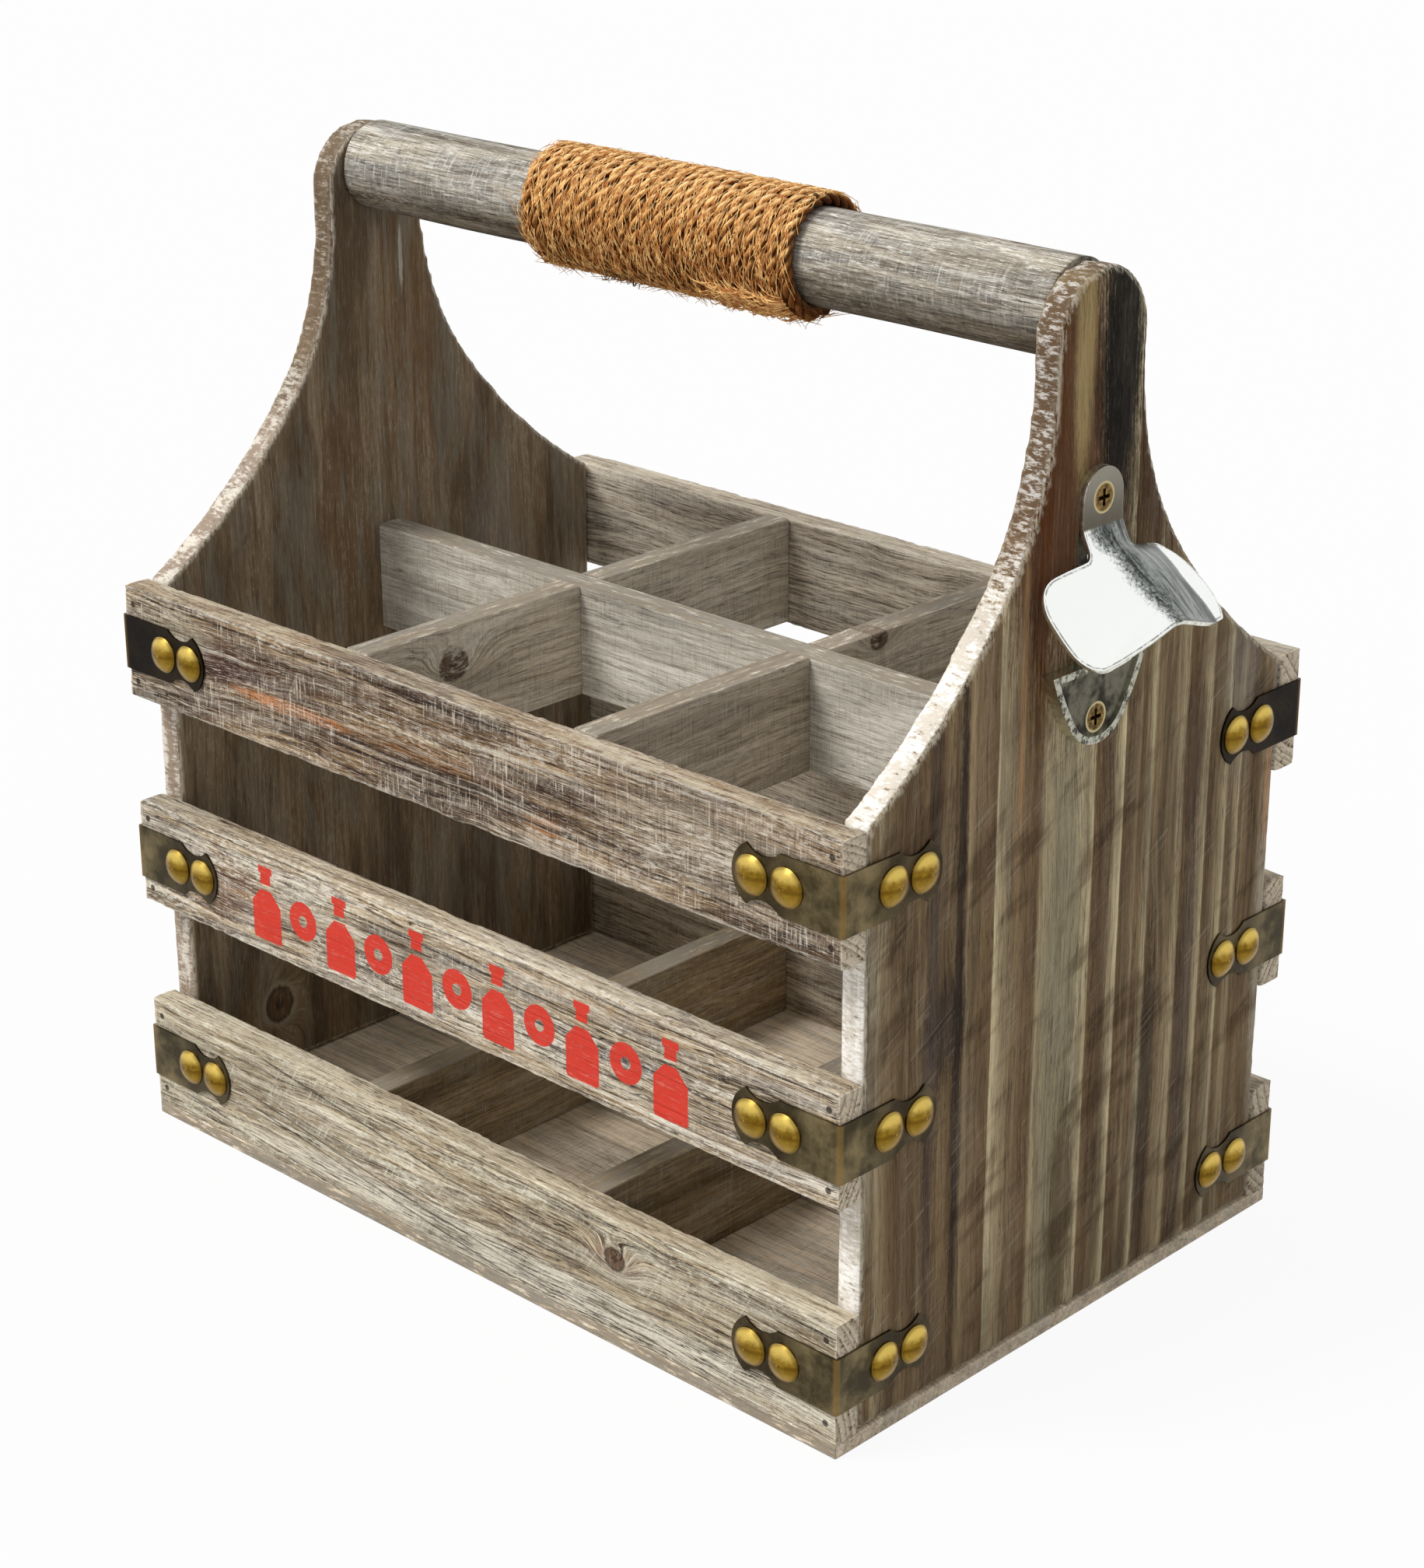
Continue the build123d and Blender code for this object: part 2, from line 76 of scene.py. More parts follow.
class Stain:
    """One output of a shader node. Sums on it add the nodes that work them out."""

    def __init__(self, tree, socket=None):
        self.tree = tree
        self.socket = socket

    def node(self, kind, settings=None, inputs=None, out=0):
        """Adds a node: its settings first, then the values or links of its sockets."""
        made = self.tree.nodes.new("ShaderNode" + kind)
        for name, value in (settings or {}).items():
            if name == "stops":
                stops = made.color_ramp.elements
                while len(stops) < len(value):
                    stops.new(1.0)
                for stop, (place, shade) in zip(stops, value):
                    stop.position = place
                    stop.color = shade if hasattr(shade, "__len__") else (shade, shade, shade, 1)
            else:
                setattr(made, name, value)
        for name, value in (inputs or {}).items():
            if isinstance(value, Stain):
                self.tree.links.new(value.socket, made.inputs[name])
            else:
                made.inputs[name].default_value = value
        return Stain(self.tree, made.outputs[out])

    def other(self, out):
        """Another output of the same node."""
        return Stain(self.tree, self.socket.node.outputs[out])

    def sum(self, operation, *values):
        return self.node("Math", {"operation": operation}, dict(enumerate(values)))

    def __add__(self, more):
        return self.sum("ADD", self, more)

    def __sub__(self, less):
        return self.sum("SUBTRACT", self, less)

    def __rsub__(self, whole):
        return self.sum("SUBTRACT", whole, self)

    def __mul__(self, times):
        return self.sum("MULTIPLY", self, times)

    def __truediv__(self, share):
        return self.sum("DIVIDE", self, share)

    def __pow__(self, power):
        return self.sum("POWER", self, power)

    def __abs__(self):
        return self.sum("ABSOLUTE", self)

    __radd__ = __add__
    __rmul__ = __mul__

    def larger(self, value):
        return self.sum("MAXIMUM", self, value)

    def smaller(self, value):
        return self.sum("MINIMUM", self, value)

    def step(self, low, high):
        """0 at low and 1 at high, with a soft run between them. Low may be the larger."""
        values = {"Value": self, "From Min": low, "From Max": high}
        return self.node("MapRange", {"interpolation_type": "SMOOTHSTEP"}, values)

    def parts(self):
        """The x, y and z of this vector."""
        split = self.node("SeparateXYZ", None, {0: self})
        return split, split.other(1), split.other(2)

    def mark(self, name):
        """The value of that name that a mesh keeps at each of its points."""
        return self.node("Attribute", {"attribute_name": name}, out="Fac")

    def blend(self, under, over, way="MIX"):
        """The colour over laid on the colour under where this mask is 1. Either may be written
        as a picture shows it, red, green and blue from 0 to 255."""
        under, over = (side if isinstance(side, Stain) else colour(*side) for side in (under, over))
        settings = {"data_type": "RGBA", "blend_type": way}
        return self.node("Mix", settings, {0: self, 6: under, 7: over}, out=2)

    def cloud(self, stretch, detail=2.0, rough=0.5, shift=0.0, warp=0.0):
        """Noise on this vector, finer along an axis where stretch is larger."""
        moved = (shift, shift * 1.7, shift * 0.6)
        placed = self.node("Mapping", None, {"Vector": self, "Location": moved, "Scale": stretch})
        return self.node("TexNoise", None, {
            "Vector": placed, "Scale": 1.0, "Detail": detail, "Roughness": rough, "Distortion": warp,
        })


def mesh_of(shape, name):
    """The finished bmesh as a mesh of that name."""
    mesh = bpy.data.meshes.new(name)
    shape.to_mesh(mesh)
    shape.free()
    return mesh


def put_on(piece, material):
    """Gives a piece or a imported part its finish."""
    piece.data.materials.clear()
    piece.data.materials.append(material)


def background_rays(tree):
    """1 for a ray that comes from the camera, straight or by way of metal or glass."""
    ray = Stain(tree).node("LightPath")
    return (ray + ray.other("Is Glossy Ray") + ray.other("Is Transmission Ray")).smaller(1.0)


room_light = 0.55
for_the_eye = 0.93

world = bpy.data.worlds.new("room")
scene.world = world
world.use_nodes = True
world_tree = world.node_tree
world_tree.nodes.clear()
seen = background_rays(world_tree)
dim = seen.node("Background", None, {"Color": (1, 1, 1, 1), "Strength": room_light})
white = seen.node("Background", None, {"Color": (1, 1, 1, 1), "Strength": 1.0})
room = seen.node("MixShader", None, {0: seen, 1: dim, 2: white})
room_end = world_tree.nodes.new("ShaderNodeOutputWorld")
world_tree.links.new(room.socket, room_end.inputs["Surface"])

floor_shape = bmesh.new()
bmesh.ops.create_grid(floor_shape, x_segments=1, y_segments=1, size=4.0)
floor = bpy.data.objects.new("floor", mesh_of(floor_shape, "floor"))
scene.collection.objects.link(floor)
floor_finish = bpy.data.materials.new("floor_white")
floor_finish.use_nodes = True
floor_tree = floor_finish.node_tree
floor_shader = floor_tree.nodes["Principled BSDF"]
floor_shader.inputs["Base Color"].default_value = (0.62, 0.62, 0.615, 1)
floor_shader.inputs["Roughness"].default_value = 0.9
floor_shader.inputs["Specular IOR Level"].default_value = 0.1
seen = background_rays(floor_tree)
glow = seen.node("Emission", None, {"Color": (1, 1, 1, 1), "Strength": 1.0})
lit = seen.node("MixShader", None, {
    0: seen * for_the_eye,
    1: Stain(floor_tree, floor_shader.outputs[0]),
    2: glow,
})
floor_tree.links.new(lit.socket, floor_tree.nodes["Material Output"].inputs["Surface"])
put_on(floor, floor_finish)

key = bpy.data.objects.new("key", bpy.data.lights.new("key", "SUN"))
key.data.energy = 2.9
key.data.angle = math.radians(24)
key.matrix_world = Vector((-0.34, -0.5, 0.84)).to_track_quat("Z", "Y").to_matrix().to_4x4()
scene.collection.objects.link(key)


# The slats: six sawn softwood boards, three on the front and three on the back, nailed to the
# edges of the end panels. They are stained, dried grey and rubbed with thin white paint, and
# their edges are worn and chipped.
cell = 0.001
chip_depth = 0.00035
rim_reach = 0.004
chip_reach = 0.0016
raised_grain = 0.00006


def colour(red, green, blue):
    """A colour written as a picture shows it, 0 to 255, for a shader."""
    shares = (value / 255 for value in (red, green, blue))
    return (*(s / 12.92 if s <= 0.04045 else ((s + 0.055) / 1.055) ** 2.4 for s in shares), 1)


def vector(x, y, z=0.0):
    """One vector from three values."""
    return x.node("CombineXYZ", None, {0: x, 1: y, 2: z})


def coats(tone, *layers):
    """Lays the layers on a colour in turn: each is a mask, a colour and the way it is laid."""
    for mask, *laid in layers:
        tone = mask.blend(tone, *laid)
    return tone


def new_finish(name, roughness, metallic=0.0):
    """A material, its shader, and the place on the piece, in millimetres."""
    material = bpy.data.materials.new(name)
    material.use_nodes = True
    tree = material.node_tree
    shader = tree.nodes["Principled BSDF"]
    shader.inputs["Roughness"].default_value = roughness
    shader.inputs["Metallic"].default_value = metallic
    place = Stain(tree).node("TexCoord", out="Object")
    scaled = place.node("VectorMath", {"operation": "SCALE"}, {0: place, "Scale": 1000})
    return material, shader, scaled


def dress(shader, tone, rough=None, bump=None):
    """Links a finish's colour, and its roughness and bump where it has them. The bump is a
    height of 0 to 1, a strength, and the depth in millimetres from low to high."""
    links = {"Base Color": tone}
    if rough is not None:
        links["Roughness"] = rough
    if bump is not None:
        height, strength, depth = bump
        values = {"Strength": strength, "Distance": depth / 1000, "Height": height}
        links["Normal"] = height.node("Bump", None, values)
    for socket, value in links.items():
        value.tree.links.new(value.socket, shader.inputs[socket])


def add_piece(name, mesh, slot, *stands_for):
    """Puts a finished mesh in the scene as a piece of the caddy."""
    piece = bpy.data.objects.new(name, mesh)
    scene.collection.objects.link(piece)
    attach(piece, "root")
    if stands_for:
        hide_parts(*stands_for)
    return piece


def smooth_faces(mesh):
    """Shades the whole mesh smooth."""
    for face in mesh.polygons:
        face.use_smooth = True
    return mesh


def search_tree(places):
    """A tree that finds the nearest of the places."""
    tree = kdtree.KDTree(len(places))
    for index, place in enumerate(places):
        tree.insert(place, index)
    tree.balance()
    return tree


def worn_mesh(name, shape, thin, seed, size=cell, chips=chip_depth, smooth=0):
    """A board's mesh with fine cells, its edges rubbed and chipped and its grain standing proud.

    thin is the axis across the board's thickness. The attribute rim is 1 on the edges, and
    side is 1 on the board's narrow sides and ends."""
    mesh = mesh_of(shape, name)
    block = bpy.data.objects.new(name + "_block", mesh)
    scene.collection.objects.link(block)
    cells = block.modifiers.new("cells", "REMESH")
    cells.mode = "VOXEL"
    cells.voxel_size = size
    graph = bpy.context.evaluated_depsgraph_get()
    fine = bpy.data.meshes.new_from_object(block.evaluated_get(graph))
    bpy.data.objects.remove(block)
    bpy.data.meshes.remove(mesh)
    fine.name = name
    if smooth:
        eased = bmesh.new()
        eased.from_mesh(fine)
        for turn in range(smooth):
            bmesh.ops.smooth_vert(
                eased, verts=eased.verts, factor=0.5, use_axis_x=True, use_axis_y=True, use_axis_z=True,
            )
        eased.to_mesh(fine)
        eased.free()
    tilts = []
    sides = []
    for vertex in fine.vertices:
        flat = abs(vertex.normal[thin])
        tilts.append(min(flat, math.sqrt(max(0.0, 1 - flat * flat))))
        sides.append(min(1.0, max(0.0, (0.8 - flat) / 0.3)))
    near = search_tree([v.co.copy() for v, tilt in zip(fine.vertices, tilts) if tilt > 0.3])
    rims = []
    shift = Vector((seed * 3.1, seed * 7.7, seed * 1.3))
    moves = []
    for vertex in fine.vertices:
        gap = near.find(vertex.co)[2]
        rims.append(max(0.0, 1 - gap / rim_reach))
        broad = noise.noise(vertex.co * 90 + shift)
        small = noise.noise(vertex.co * 420 + shift)
        knocks = max(0.0, broad + 0.5 * small)
        close = max(0.0, 1 - gap / chip_reach)
        worn = close * chips * (0.35 + 1.5 * knocks) + raised_grain * (1 + small)
        moves.append(vertex.normal * -worn)
    for vertex, move in zip(fine.vertices, moves):
        vertex.co += move
    for mark, values in (("rim", rims), ("side", sides)):
        fine.attributes.new(mark, "FLOAT", "POINT").data.foreach_set("value", values)
    return smooth_faces(fine)


def away(u, v, middle, size):
    """How far a place is from the middle of a round or oval spot, with 1 at the spot's rim."""
    across = (u - middle[0]) / size[0]
    along = (v - middle[1]) / size[1]
    return (across * across + along * along) ** 0.5


ring_edge = 0.3
ring_span = 200


def weathered(
    name, axes, middle, seed,
    early=(176, 158, 130), late=(112, 88, 62), dark=(62, 48, 36), film=(150, 146, 136),
    wash=(226, 217, 200), heart=(40.0, -22.0), ring_step=3.2, rings=0.6, ring_edges=(),
    stained=0.5, deep=0.5, filmed=0.4, washed=0.4, pale=0.4, bright=0.5, fine=1.0, painted_under_shade=0.0,
    sawn=0.35, cracked=0.5, smudged=0.0, scratched=0.0, scratched_to=1000.0, rim_paint=0.6,
    side_tone=(196, 184, 158), side_shade=(150, 134, 112), side_cover=0.6, side_thins=1000.0,
    side_stretch=(0.12, 0.9, 0.9), edge_level=1000.0, half_length=1000.0,
    knots=(), patches=(), lines=(), holes=None, decorate=None,
):
    """Weathered, stained and whitewashed wood. u runs along the grain, v across the face and
    w through the thickness, in millimetres from the middle of the board."""
    material, shader, place = new_finish(name, 0.72)
    shader.inputs["Specular IOR Level"].default_value = 0.08
    parts = dict(zip("XYZ", place.parts()))
    u, v, w = (parts[axis] - centre for axis, centre in zip(axes, middle))
    board = vector(u, v, w)

    # The growth rings bend round the knots and wander along the board.
    bend = (board.cloud((0.009, 0.02, 0.02), 2, 0.5, seed) - 0.5) * 9
    wander = (board.cloud((0.05, 0.12, 0.12), 2, 0.5, seed + 9) - 0.5) * 1.6
    drawn = v + bend + wander
    for knot_u, knot_v, knot_size in knots:
        spread = away(u, v, (knot_u, knot_v), (knot_size * 2.4, knot_size * 1.5))
        drawn = drawn + spread.sum("EXPONENT", spread * spread * -1.0) * (knot_size * 2.2)
    across = drawn - heart[0]
    inward = w - heart[1]
    reach = (across * across + inward * inward) ** 0.5
    around = vector(reach, u * 0.003)
    uneven = around.cloud((0.11, 1.0, 1.0), 2, 0.6, seed + 2)
    count = reach / ring_step + uneven * 5.0
    phase = count.sum("FRACT", count)
    late_wood = phase ** 2.2 * phase.step(1.0, 0.93)
    bands = around.cloud((0.33, 1.0, 1.0), 3, 0.65, seed + 4)

    # Fine fibres and pores, and long soft clouds of stain, grey film and white paint.
    grain_board = vector(u, drawn, w)
    streaks = grain_board.cloud((0.011, 0.4, 0.4), 5, 0.66, seed + 3)
    fibres = grain_board.cloud((0.05, 1.5, 1.5), 4, 0.75, seed + 5)
    hairs = grain_board.cloud((0.22, 4.6, 4.6), 3, 0.7, seed + 6)
    clouds = board.cloud((0.014, 0.085, 0.085), 4, 0.62, seed + 7, 0.4)
    mist = board.cloud((0.024, 0.13, 0.13), 4, 0.65, seed + 8, 0.6)
    flakes = board.cloud((0.32, 0.9, 0.9), 5, 0.8, seed + 12, 0.3)
    saw = board.cloud((1.6, 0.12, 0.2), 3, 0.66, seed + 17)

    tone = (bands.step(0.5, 0.66) * rings * 0.7).blend(early, late)
    if ring_edges:
        # Each ring is light up to its edge, coming from the heart, and dark beyond.
        stops = []
        for edge, light, shaded in ring_edges:
            near_side, far_side = (light, shaded) if edge > heart[0] else (shaded, light)
            stops.append(((edge - ring_edge) / ring_span + 0.5, near_side))
            stops.append(((edge + ring_edge) / ring_span + 0.5, far_side))
        run = (v + bend * 0.12 + wander * 0.25) / ring_span + 0.5
        ring = run.node("ValToRGB", {"stops": stops}, {0: run})
        tone = (ring ** 4.5).blend(tone, late)
        late_wood = late_wood * 0.1
    tone = coats(
        tone,
        (clouds.step(0.44, 0.62) * stained, dark),
        (streaks.step(0.5, 0.38) * deep, dark),
    )
    for patch_u, patch_v, size_u, size_v, shade, strength in patches:
        ragged = (flakes - 0.5) * 0.9 + (fibres - 0.5) * 1.1
        spread = away(u, v, (patch_u, patch_v), (size_u, size_v)) + ragged
        tone = (spread.step(1.15, 0.5) * strength).blend(tone, shade)
    tone = coats(
        tone,
        (late_wood * clouds.step(0.72, 0.42) * rings, late),
        (streaks.step(0.52, 0.64) * pale, wash),
        (mist.step(0.44, 0.62) * filmed, film),
        (fibres.step(0.52, 0.36) * (0.72 * fine), (98, 76, 60), "MULTIPLY"),
        (hairs.step(0.48, 0.34) * (0.72 * fine), (92, 72, 58), "MULTIPLY"),
        (hairs.step(0.54, 0.68) * bright, wash),
    )

    # Brush strokes of dark stain and fine pale scratches that slant across the board.
    if scratched:
        slant = vector(v * 0.87 + u * 0.5, u * 0.87 - v * 0.5)
        reached = u.step(scratched_to, scratched_to - 40)
        strokes = slant.cloud((0.035, 0.09, 1.0), 3, 0.6, seed + 21)
        scratches = slant.cloud((0.02, 1.0, 1.0), 4, 0.7, seed + 22)
        pale_marks = scratches.step(0.53, 0.66) * mist.step(0.46, 0.58) * reached
        tone = coats(
            tone,
            (strokes.step(0.5, 0.66) * reached * smudged, (140, 118, 104), "MULTIPLY"),
            (pale_marks * scratched, wash),
        )

    # Knots: a brown heart with a dark, cracked ring.
    for knot_u, knot_v, knot_size in knots:
        spread = away(u, v, (knot_u, knot_v), (knot_size * 1.15, knot_size)) + (flakes - 0.5) * 0.5
        tone = coats(
            tone,
            (spread.step(1.5, 1.1) * 0.5, (176, 166, 146)),
            (spread.step(1.05, 0.75) * 0.85, (88, 60, 40)),
            (abs(spread - 0.92).step(0.2, 0.02) * 0.7, (44, 28, 18)),
            (spread.step(0.42, 0.2) * 0.6, (40, 26, 18)),
        )

    # Dark splits and pencil-thin checks along the grain.
    split_noise = grain_board.cloud((0.018, 0.42, 0.42), 3, 0.6, seed + 14)
    split_places = board.cloud((0.03, 0.06, 0.06), 2, 0.5, seed + 15).step(0.46, 0.6)
    splits = abs(split_noise - 0.5).step(0.014, 0.003) * split_places
    for line_u, line_v, end_u, end_v, wide, strength in lines:
        level = (u - line_u) * ((end_v - line_v) / (end_u - line_u)) + line_v
        inside = u.step(line_u - 2, line_u + 2) * u.step(end_u + 2, end_u - 2)
        gap = abs(v - level + (bend * 0.12 + wander * 0.4))
        splits = splits.larger(gap.step(wide, wide * 0.3) * inside * strength)
    tone = (splits * cracked).blend(tone, (34, 24, 17))

    # Thin white paint lies in flakes, in saw marks across the grain, and thicker on the edges.
    cover = flakes * 0.6 + fibres * 0.4
    paint = (cover + (clouds - 0.5) * -0.45).step(0.53, 0.62) * washed
    edge_paint = u.mark("rim").step(0.66, 0.96) * cover.step(0.42, 0.56) * rim_paint
    marks = saw.step(0.55, 0.68) * (mist * 0.6 + flakes * 0.4).step(0.42, 0.56) * sawn
    white_paint = paint.larger(edge_paint).larger(marks)
    tone = coats(
        tone,
        (saw.step(0.48, 0.3) * sawn * 0.8, (120, 100, 84), "MULTIPLY"),
        (white_paint, wash),
    )

    # The sawn sides hold the paint, which is broken by pores. It thins out up the neck.
    pores = board.cloud(side_stretch, 5, 0.72, seed + 20)
    thin = u.step(side_thins - 14, side_thins + 14) * 0.17 + (1.0 - side_cover) * 0.3
    edge = u.mark("side").step(0.3, 0.8).larger(abs(v).step(edge_level - 0.4, edge_level - 0.15))
    chalk = (pores - thin).step(0.3, 0.42) * edge
    grimy = (mist * 0.5 + pores * 0.5).step(0.56, 0.47).blend(side_tone, side_shade)
    up_neck = u.step(side_thins - 20, side_thins + 20)
    ends = abs(u).step(half_length - 0.7, half_length - 0.25)
    end_grain = (late_wood * 0.7 + pores.step(0.5, 0.36) * 0.6).smaller(1.0)
    tone = coats(
        tone,
        (edge * up_neck * 0.75, (104, 86, 66)),
        (chalk * side_cover * (1 - up_neck * 0.5), grimy),
        (ends, end_grain.blend((222, 208, 184), (96, 72, 50))),
    )

    if holes:
        hole_u, hole_v = holes
        ring = away(abs(u), abs(v), (hole_u, hole_v), (0.95, 0.95))
        tone = (ring.step(1.15, 0.8) * 0.85).blend(tone, (36, 27, 20))
    # Painted shade: faces that turn downwards are darkened.
    if painted_under_shade:
        upward = u.node("NewGeometry", out="Normal").parts()[2]
        tone = (upward.step(0.3, -0.6) * painted_under_shade).blend(tone, (168, 158, 146), "MULTIPLY")
    if decorate:
        tone = decorate(u, v, w, tone, cover, hairs)
    height = fibres * 0.55 + late_wood * 0.1 + hairs * 0.25 + saw * 0.16 + white_paint * 0.12
    bump = (height - splits * 0.6, 0.25 + 0.35 * fine, 0.6)
    dress(shader, tone, fibres.step(0.2, 0.8) * 0.18 + 0.6, bump)
    return material


figure_step = 15.4
figure_height = 22.0
bottle_half = 6.2
bottle_outline = (
    (0.0, 0.86), (0.04, 0.95), (0.5, 0.95), (0.68, 0.36), (0.9, 0.32), (0.905, 0.46), (1.0, 0.46),
)
row_half = 84.5


def stencil_row(u, v, w, tone, cover, hairs):
    """A row of plain stencilled bottles and discs in red paint, rubbed with the wood."""
    along = u / figure_step + 0.5
    place = (along - along.sum("FLOOR", along) - 0.5) * figure_step
    number = along.sum("FLOOR", along) * 0.5
    disc_turn = (number - number.sum("FLOOR", number)).step(0.2, 0.3)
    rise = v / figure_height + 0.5
    half_width = rise.node("ValToRGB", {"stops": bottle_outline}, {0: rise}) * bottle_half
    rough = (cover - 0.5) * 1.2
    bottle = (half_width - abs(place) + rough).step(-0.15, 0.15)
    bottle = bottle * rise.step(-0.01, 0.01) * rise.step(1.01, 0.99)
    bridge = abs(rise - 0.72).step(0.03, 0.045)
    disc_reach = (place * place + (v + 0.5) * (v + 0.5)) ** 0.5
    disc = (5.6 - disc_reach + rough).step(-0.15, 0.15) * (disc_reach + rough).step(1.5, 1.8)
    shape = (1 - disc_turn) * disc + disc_turn * bottle * bridge
    row = abs(u).step(row_half + 0.1, row_half - 0.1) * w.step(0.0, -1.0)
    worn = (cover * 0.7 + hairs * 0.3).step(0.62, 0.52) * 0.18 + 0.8
    return (shape * row * worn).blend(tone, (208, 60, 46))


slat_looks = {
    "front_slat_top": dict(
        seed=3.0, heart=(-52.0, -30.0), ring_step=2.4, rings=0.6, stained=0.8, filmed=0.35, washed=0.6,
        sawn=0.65, cracked=0.9, deep=0.8, pale=0.55, scratched=0.2, fine=1.15, bright=0.65,
        early=(176, 148, 112), late=(102, 74, 50), dark=(60, 40, 34), film=(150, 138, 126),
        lines=((-124.0, 14.2, 30.0, 13.0, 0.45, 0.9), (-40.0, -7.0, 100.0, -10.0, 0.45, 0.9),
               (-60.0, -4.4, 70.0, -6.4, 0.4, 0.7)),
        patches=(
            (-90.0, 3.0, 24.0, 7.5, (84, 56, 52), 0.75),
            (-62.0, -2.4, 25.0, 2.4, (206, 128, 62), 0.85),
            (-36.0, 6.0, 70.0, 3.0, (96, 70, 48), 0.6),
            (-8.0, -1.0, 40.0, 3.0, (166, 120, 76), 0.5),
            (12.0, 3.0, 6.0, 4.0, (66, 48, 36), 0.6),
            (34.0, -8.0, 8.0, 3.4, (182, 118, 66), 0.6),
            (92.0, 2.0, 44.0, 13.0, (166, 154, 134), 0.7),
            (-116.0, 8.0, 24.0, 8.0, (176, 166, 142), 0.7),
        ),
    ),
    "front_slat_middle": dict(
        seed=11.0, heart=(34.0, -70.0), ring_step=1.7, rings=0.85, stained=0.45, filmed=0.4, washed=0.7,
        sawn=0.3, cracked=0.9, deep=0.8, pale=0.7, scratched=0.2, fine=1.15, bright=0.7,
        early=(208, 186, 152), late=(112, 94, 78), dark=(72, 58, 50), film=(160, 160, 160),
        wash=(240, 232, 214),
        lines=(
            (-70.0, 8.4, 120.0, 6.0, 0.4, 0.8), (-20.0, -9.0, 124.0, -7.4, 0.4, 0.7),
            (-132.0, 14.6, 130.0, 13.6, 0.35, 0.8), (-60.0, -2.0, 60.0, -5.0, 0.35, 0.7),
            (20.0, 2.0, 126.0, -1.0, 0.35, 0.7),
        ),
        patches=(
            (-98.0, 0.0, 22.0, 12.0, (140, 98, 70), 0.7),
            (0.0, 12.6, 140.0, 3.0, (216, 190, 152), 0.7),
            (-20.0, -4.0, 90.0, 3.0, (84, 78, 80), 0.5),
            (60.0, 2.0, 50.0, 2.4, (92, 90, 94), 0.5),
            (-50.0, 3.0, 30.0, 1.8, (232, 222, 204), 0.6),
            (0.0, -12.0, 130.0, 2.4, (212, 190, 156), 0.5),
        ),
    ),
    "front_slat_bottom": dict(
        seed=23.0, heart=(-26.0, -58.0), ring_step=2.2, rings=0.8, stained=0.35, filmed=0.45, washed=0.7,
        sawn=0.2, cracked=0.9, deep=0.6, pale=0.7, scratched=0.4, fine=1.15, bright=0.7,
        knots=((56.6, 5.0, 3.2),), wash=(234, 228, 208),
        early=(216, 198, 164), late=(122, 104, 82), dark=(82, 68, 54), film=(190, 184, 166),
        lines=(
            (-83.0, 13.5, -7.0, 4.5, 0.5, 0.7), (-7.0, 4.5, 45.0, 0.4, 0.5, 0.6),
            (65.0, -6.0, 97.0, -4.5, 0.5, 0.6),
            (-93.0, 0.5, -7.0, -9.5, 0.4, 0.7), (-87.0, -3.5, 17.0, -15.5, 0.4, 0.7),
            (-55.0, -4.5, 65.0, -15.5, 0.35, 0.6), (-7.0, 14.4, 131.0, 12.6, 0.4, 0.7),
            (-120.0, -10.0, -50.0, -16.0, 0.4, 0.7),
        ),
        patches=(
            (56.0, 4.0, 9.0, 4.0, (168, 118, 92), 0.6),
            (10.0, 9.0, 60.0, 5.0, (160, 142, 110), 0.6),
            (20.0, -11.0, 130.0, 6.0, (232, 226, 210), 0.75),
        ),
    ),
    # The back slats are painted paler than the front ones, as painted light that lifts the shade inside
    # the caddy.
    "back_slat_top": dict(
        seed=31.0, heart=(44.0, 40.0), ring_step=2.8, rings=0.5, stained=0.45, filmed=0.45, washed=0.45,
        early=(232, 220, 200), late=(122, 104, 84), dark=(80, 66, 52), film=(182, 178, 168),
    ),
    "back_slat_middle": dict(
        seed=37.0, heart=(-48.0, 60.0), ring_step=2.2, rings=0.55, stained=0.45, filmed=0.4, washed=0.5,
        knots=((-70.0, 3.0, 3.4),),
        early=(232, 218, 196), late=(120, 100, 78), dark=(78, 64, 50), film=(180, 176, 166),
    ),
    "back_slat_bottom": dict(
        seed=43.0, heart=(30.0, 46.0), ring_step=2.6, rings=0.5, stained=0.45, filmed=0.4, washed=0.5,
        early=(232, 218, 196), late=(124, 104, 80), dark=(82, 68, 54), film=(182, 176, 164),
    ),
}
for node, look in slat_looks.items():
    low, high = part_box(node)
    middle = (low + high) / 2
    block = bmesh.new()
    bmesh.ops.create_cube(block, size=1.0)
    bmesh.ops.scale(block, verts=block.verts, vec=high - low)
    bmesh.ops.translate(block, verts=block.verts, vec=middle)
    slat = add_piece(
        "worn_" + node,
        worn_mesh(node + "_wood", block, 1, look["seed"]),
        "weathered_slat",
        node,
    )
    half = (high - low) * 500
    put_on(slat, weathered(
        node + "_finish",
        ("X", "Z", "Y"),
        (middle.x * 1000, middle.z * 1000, middle.y * 1000),
        holes=(half.x - 3.5, half.z - 5.0),
        half_length=half.x,
        decorate=stencil_row if node == "front_slat_middle" else None,
        **look,
    ))


# The end panels: one wide board each, glued up from upright strips, with hollow shoulders sawn
# up to a narrow neck and a round top that holds the handle. The sawn edges carry thick paint.
panel_cell = 0.00125
arch_radius = 0.0169
arch_height = 0.2606
neck_turn_height = 0.2535
join_place = (0.0332, 0.2051)
shoulder_place = (0.0807, 0.1621)


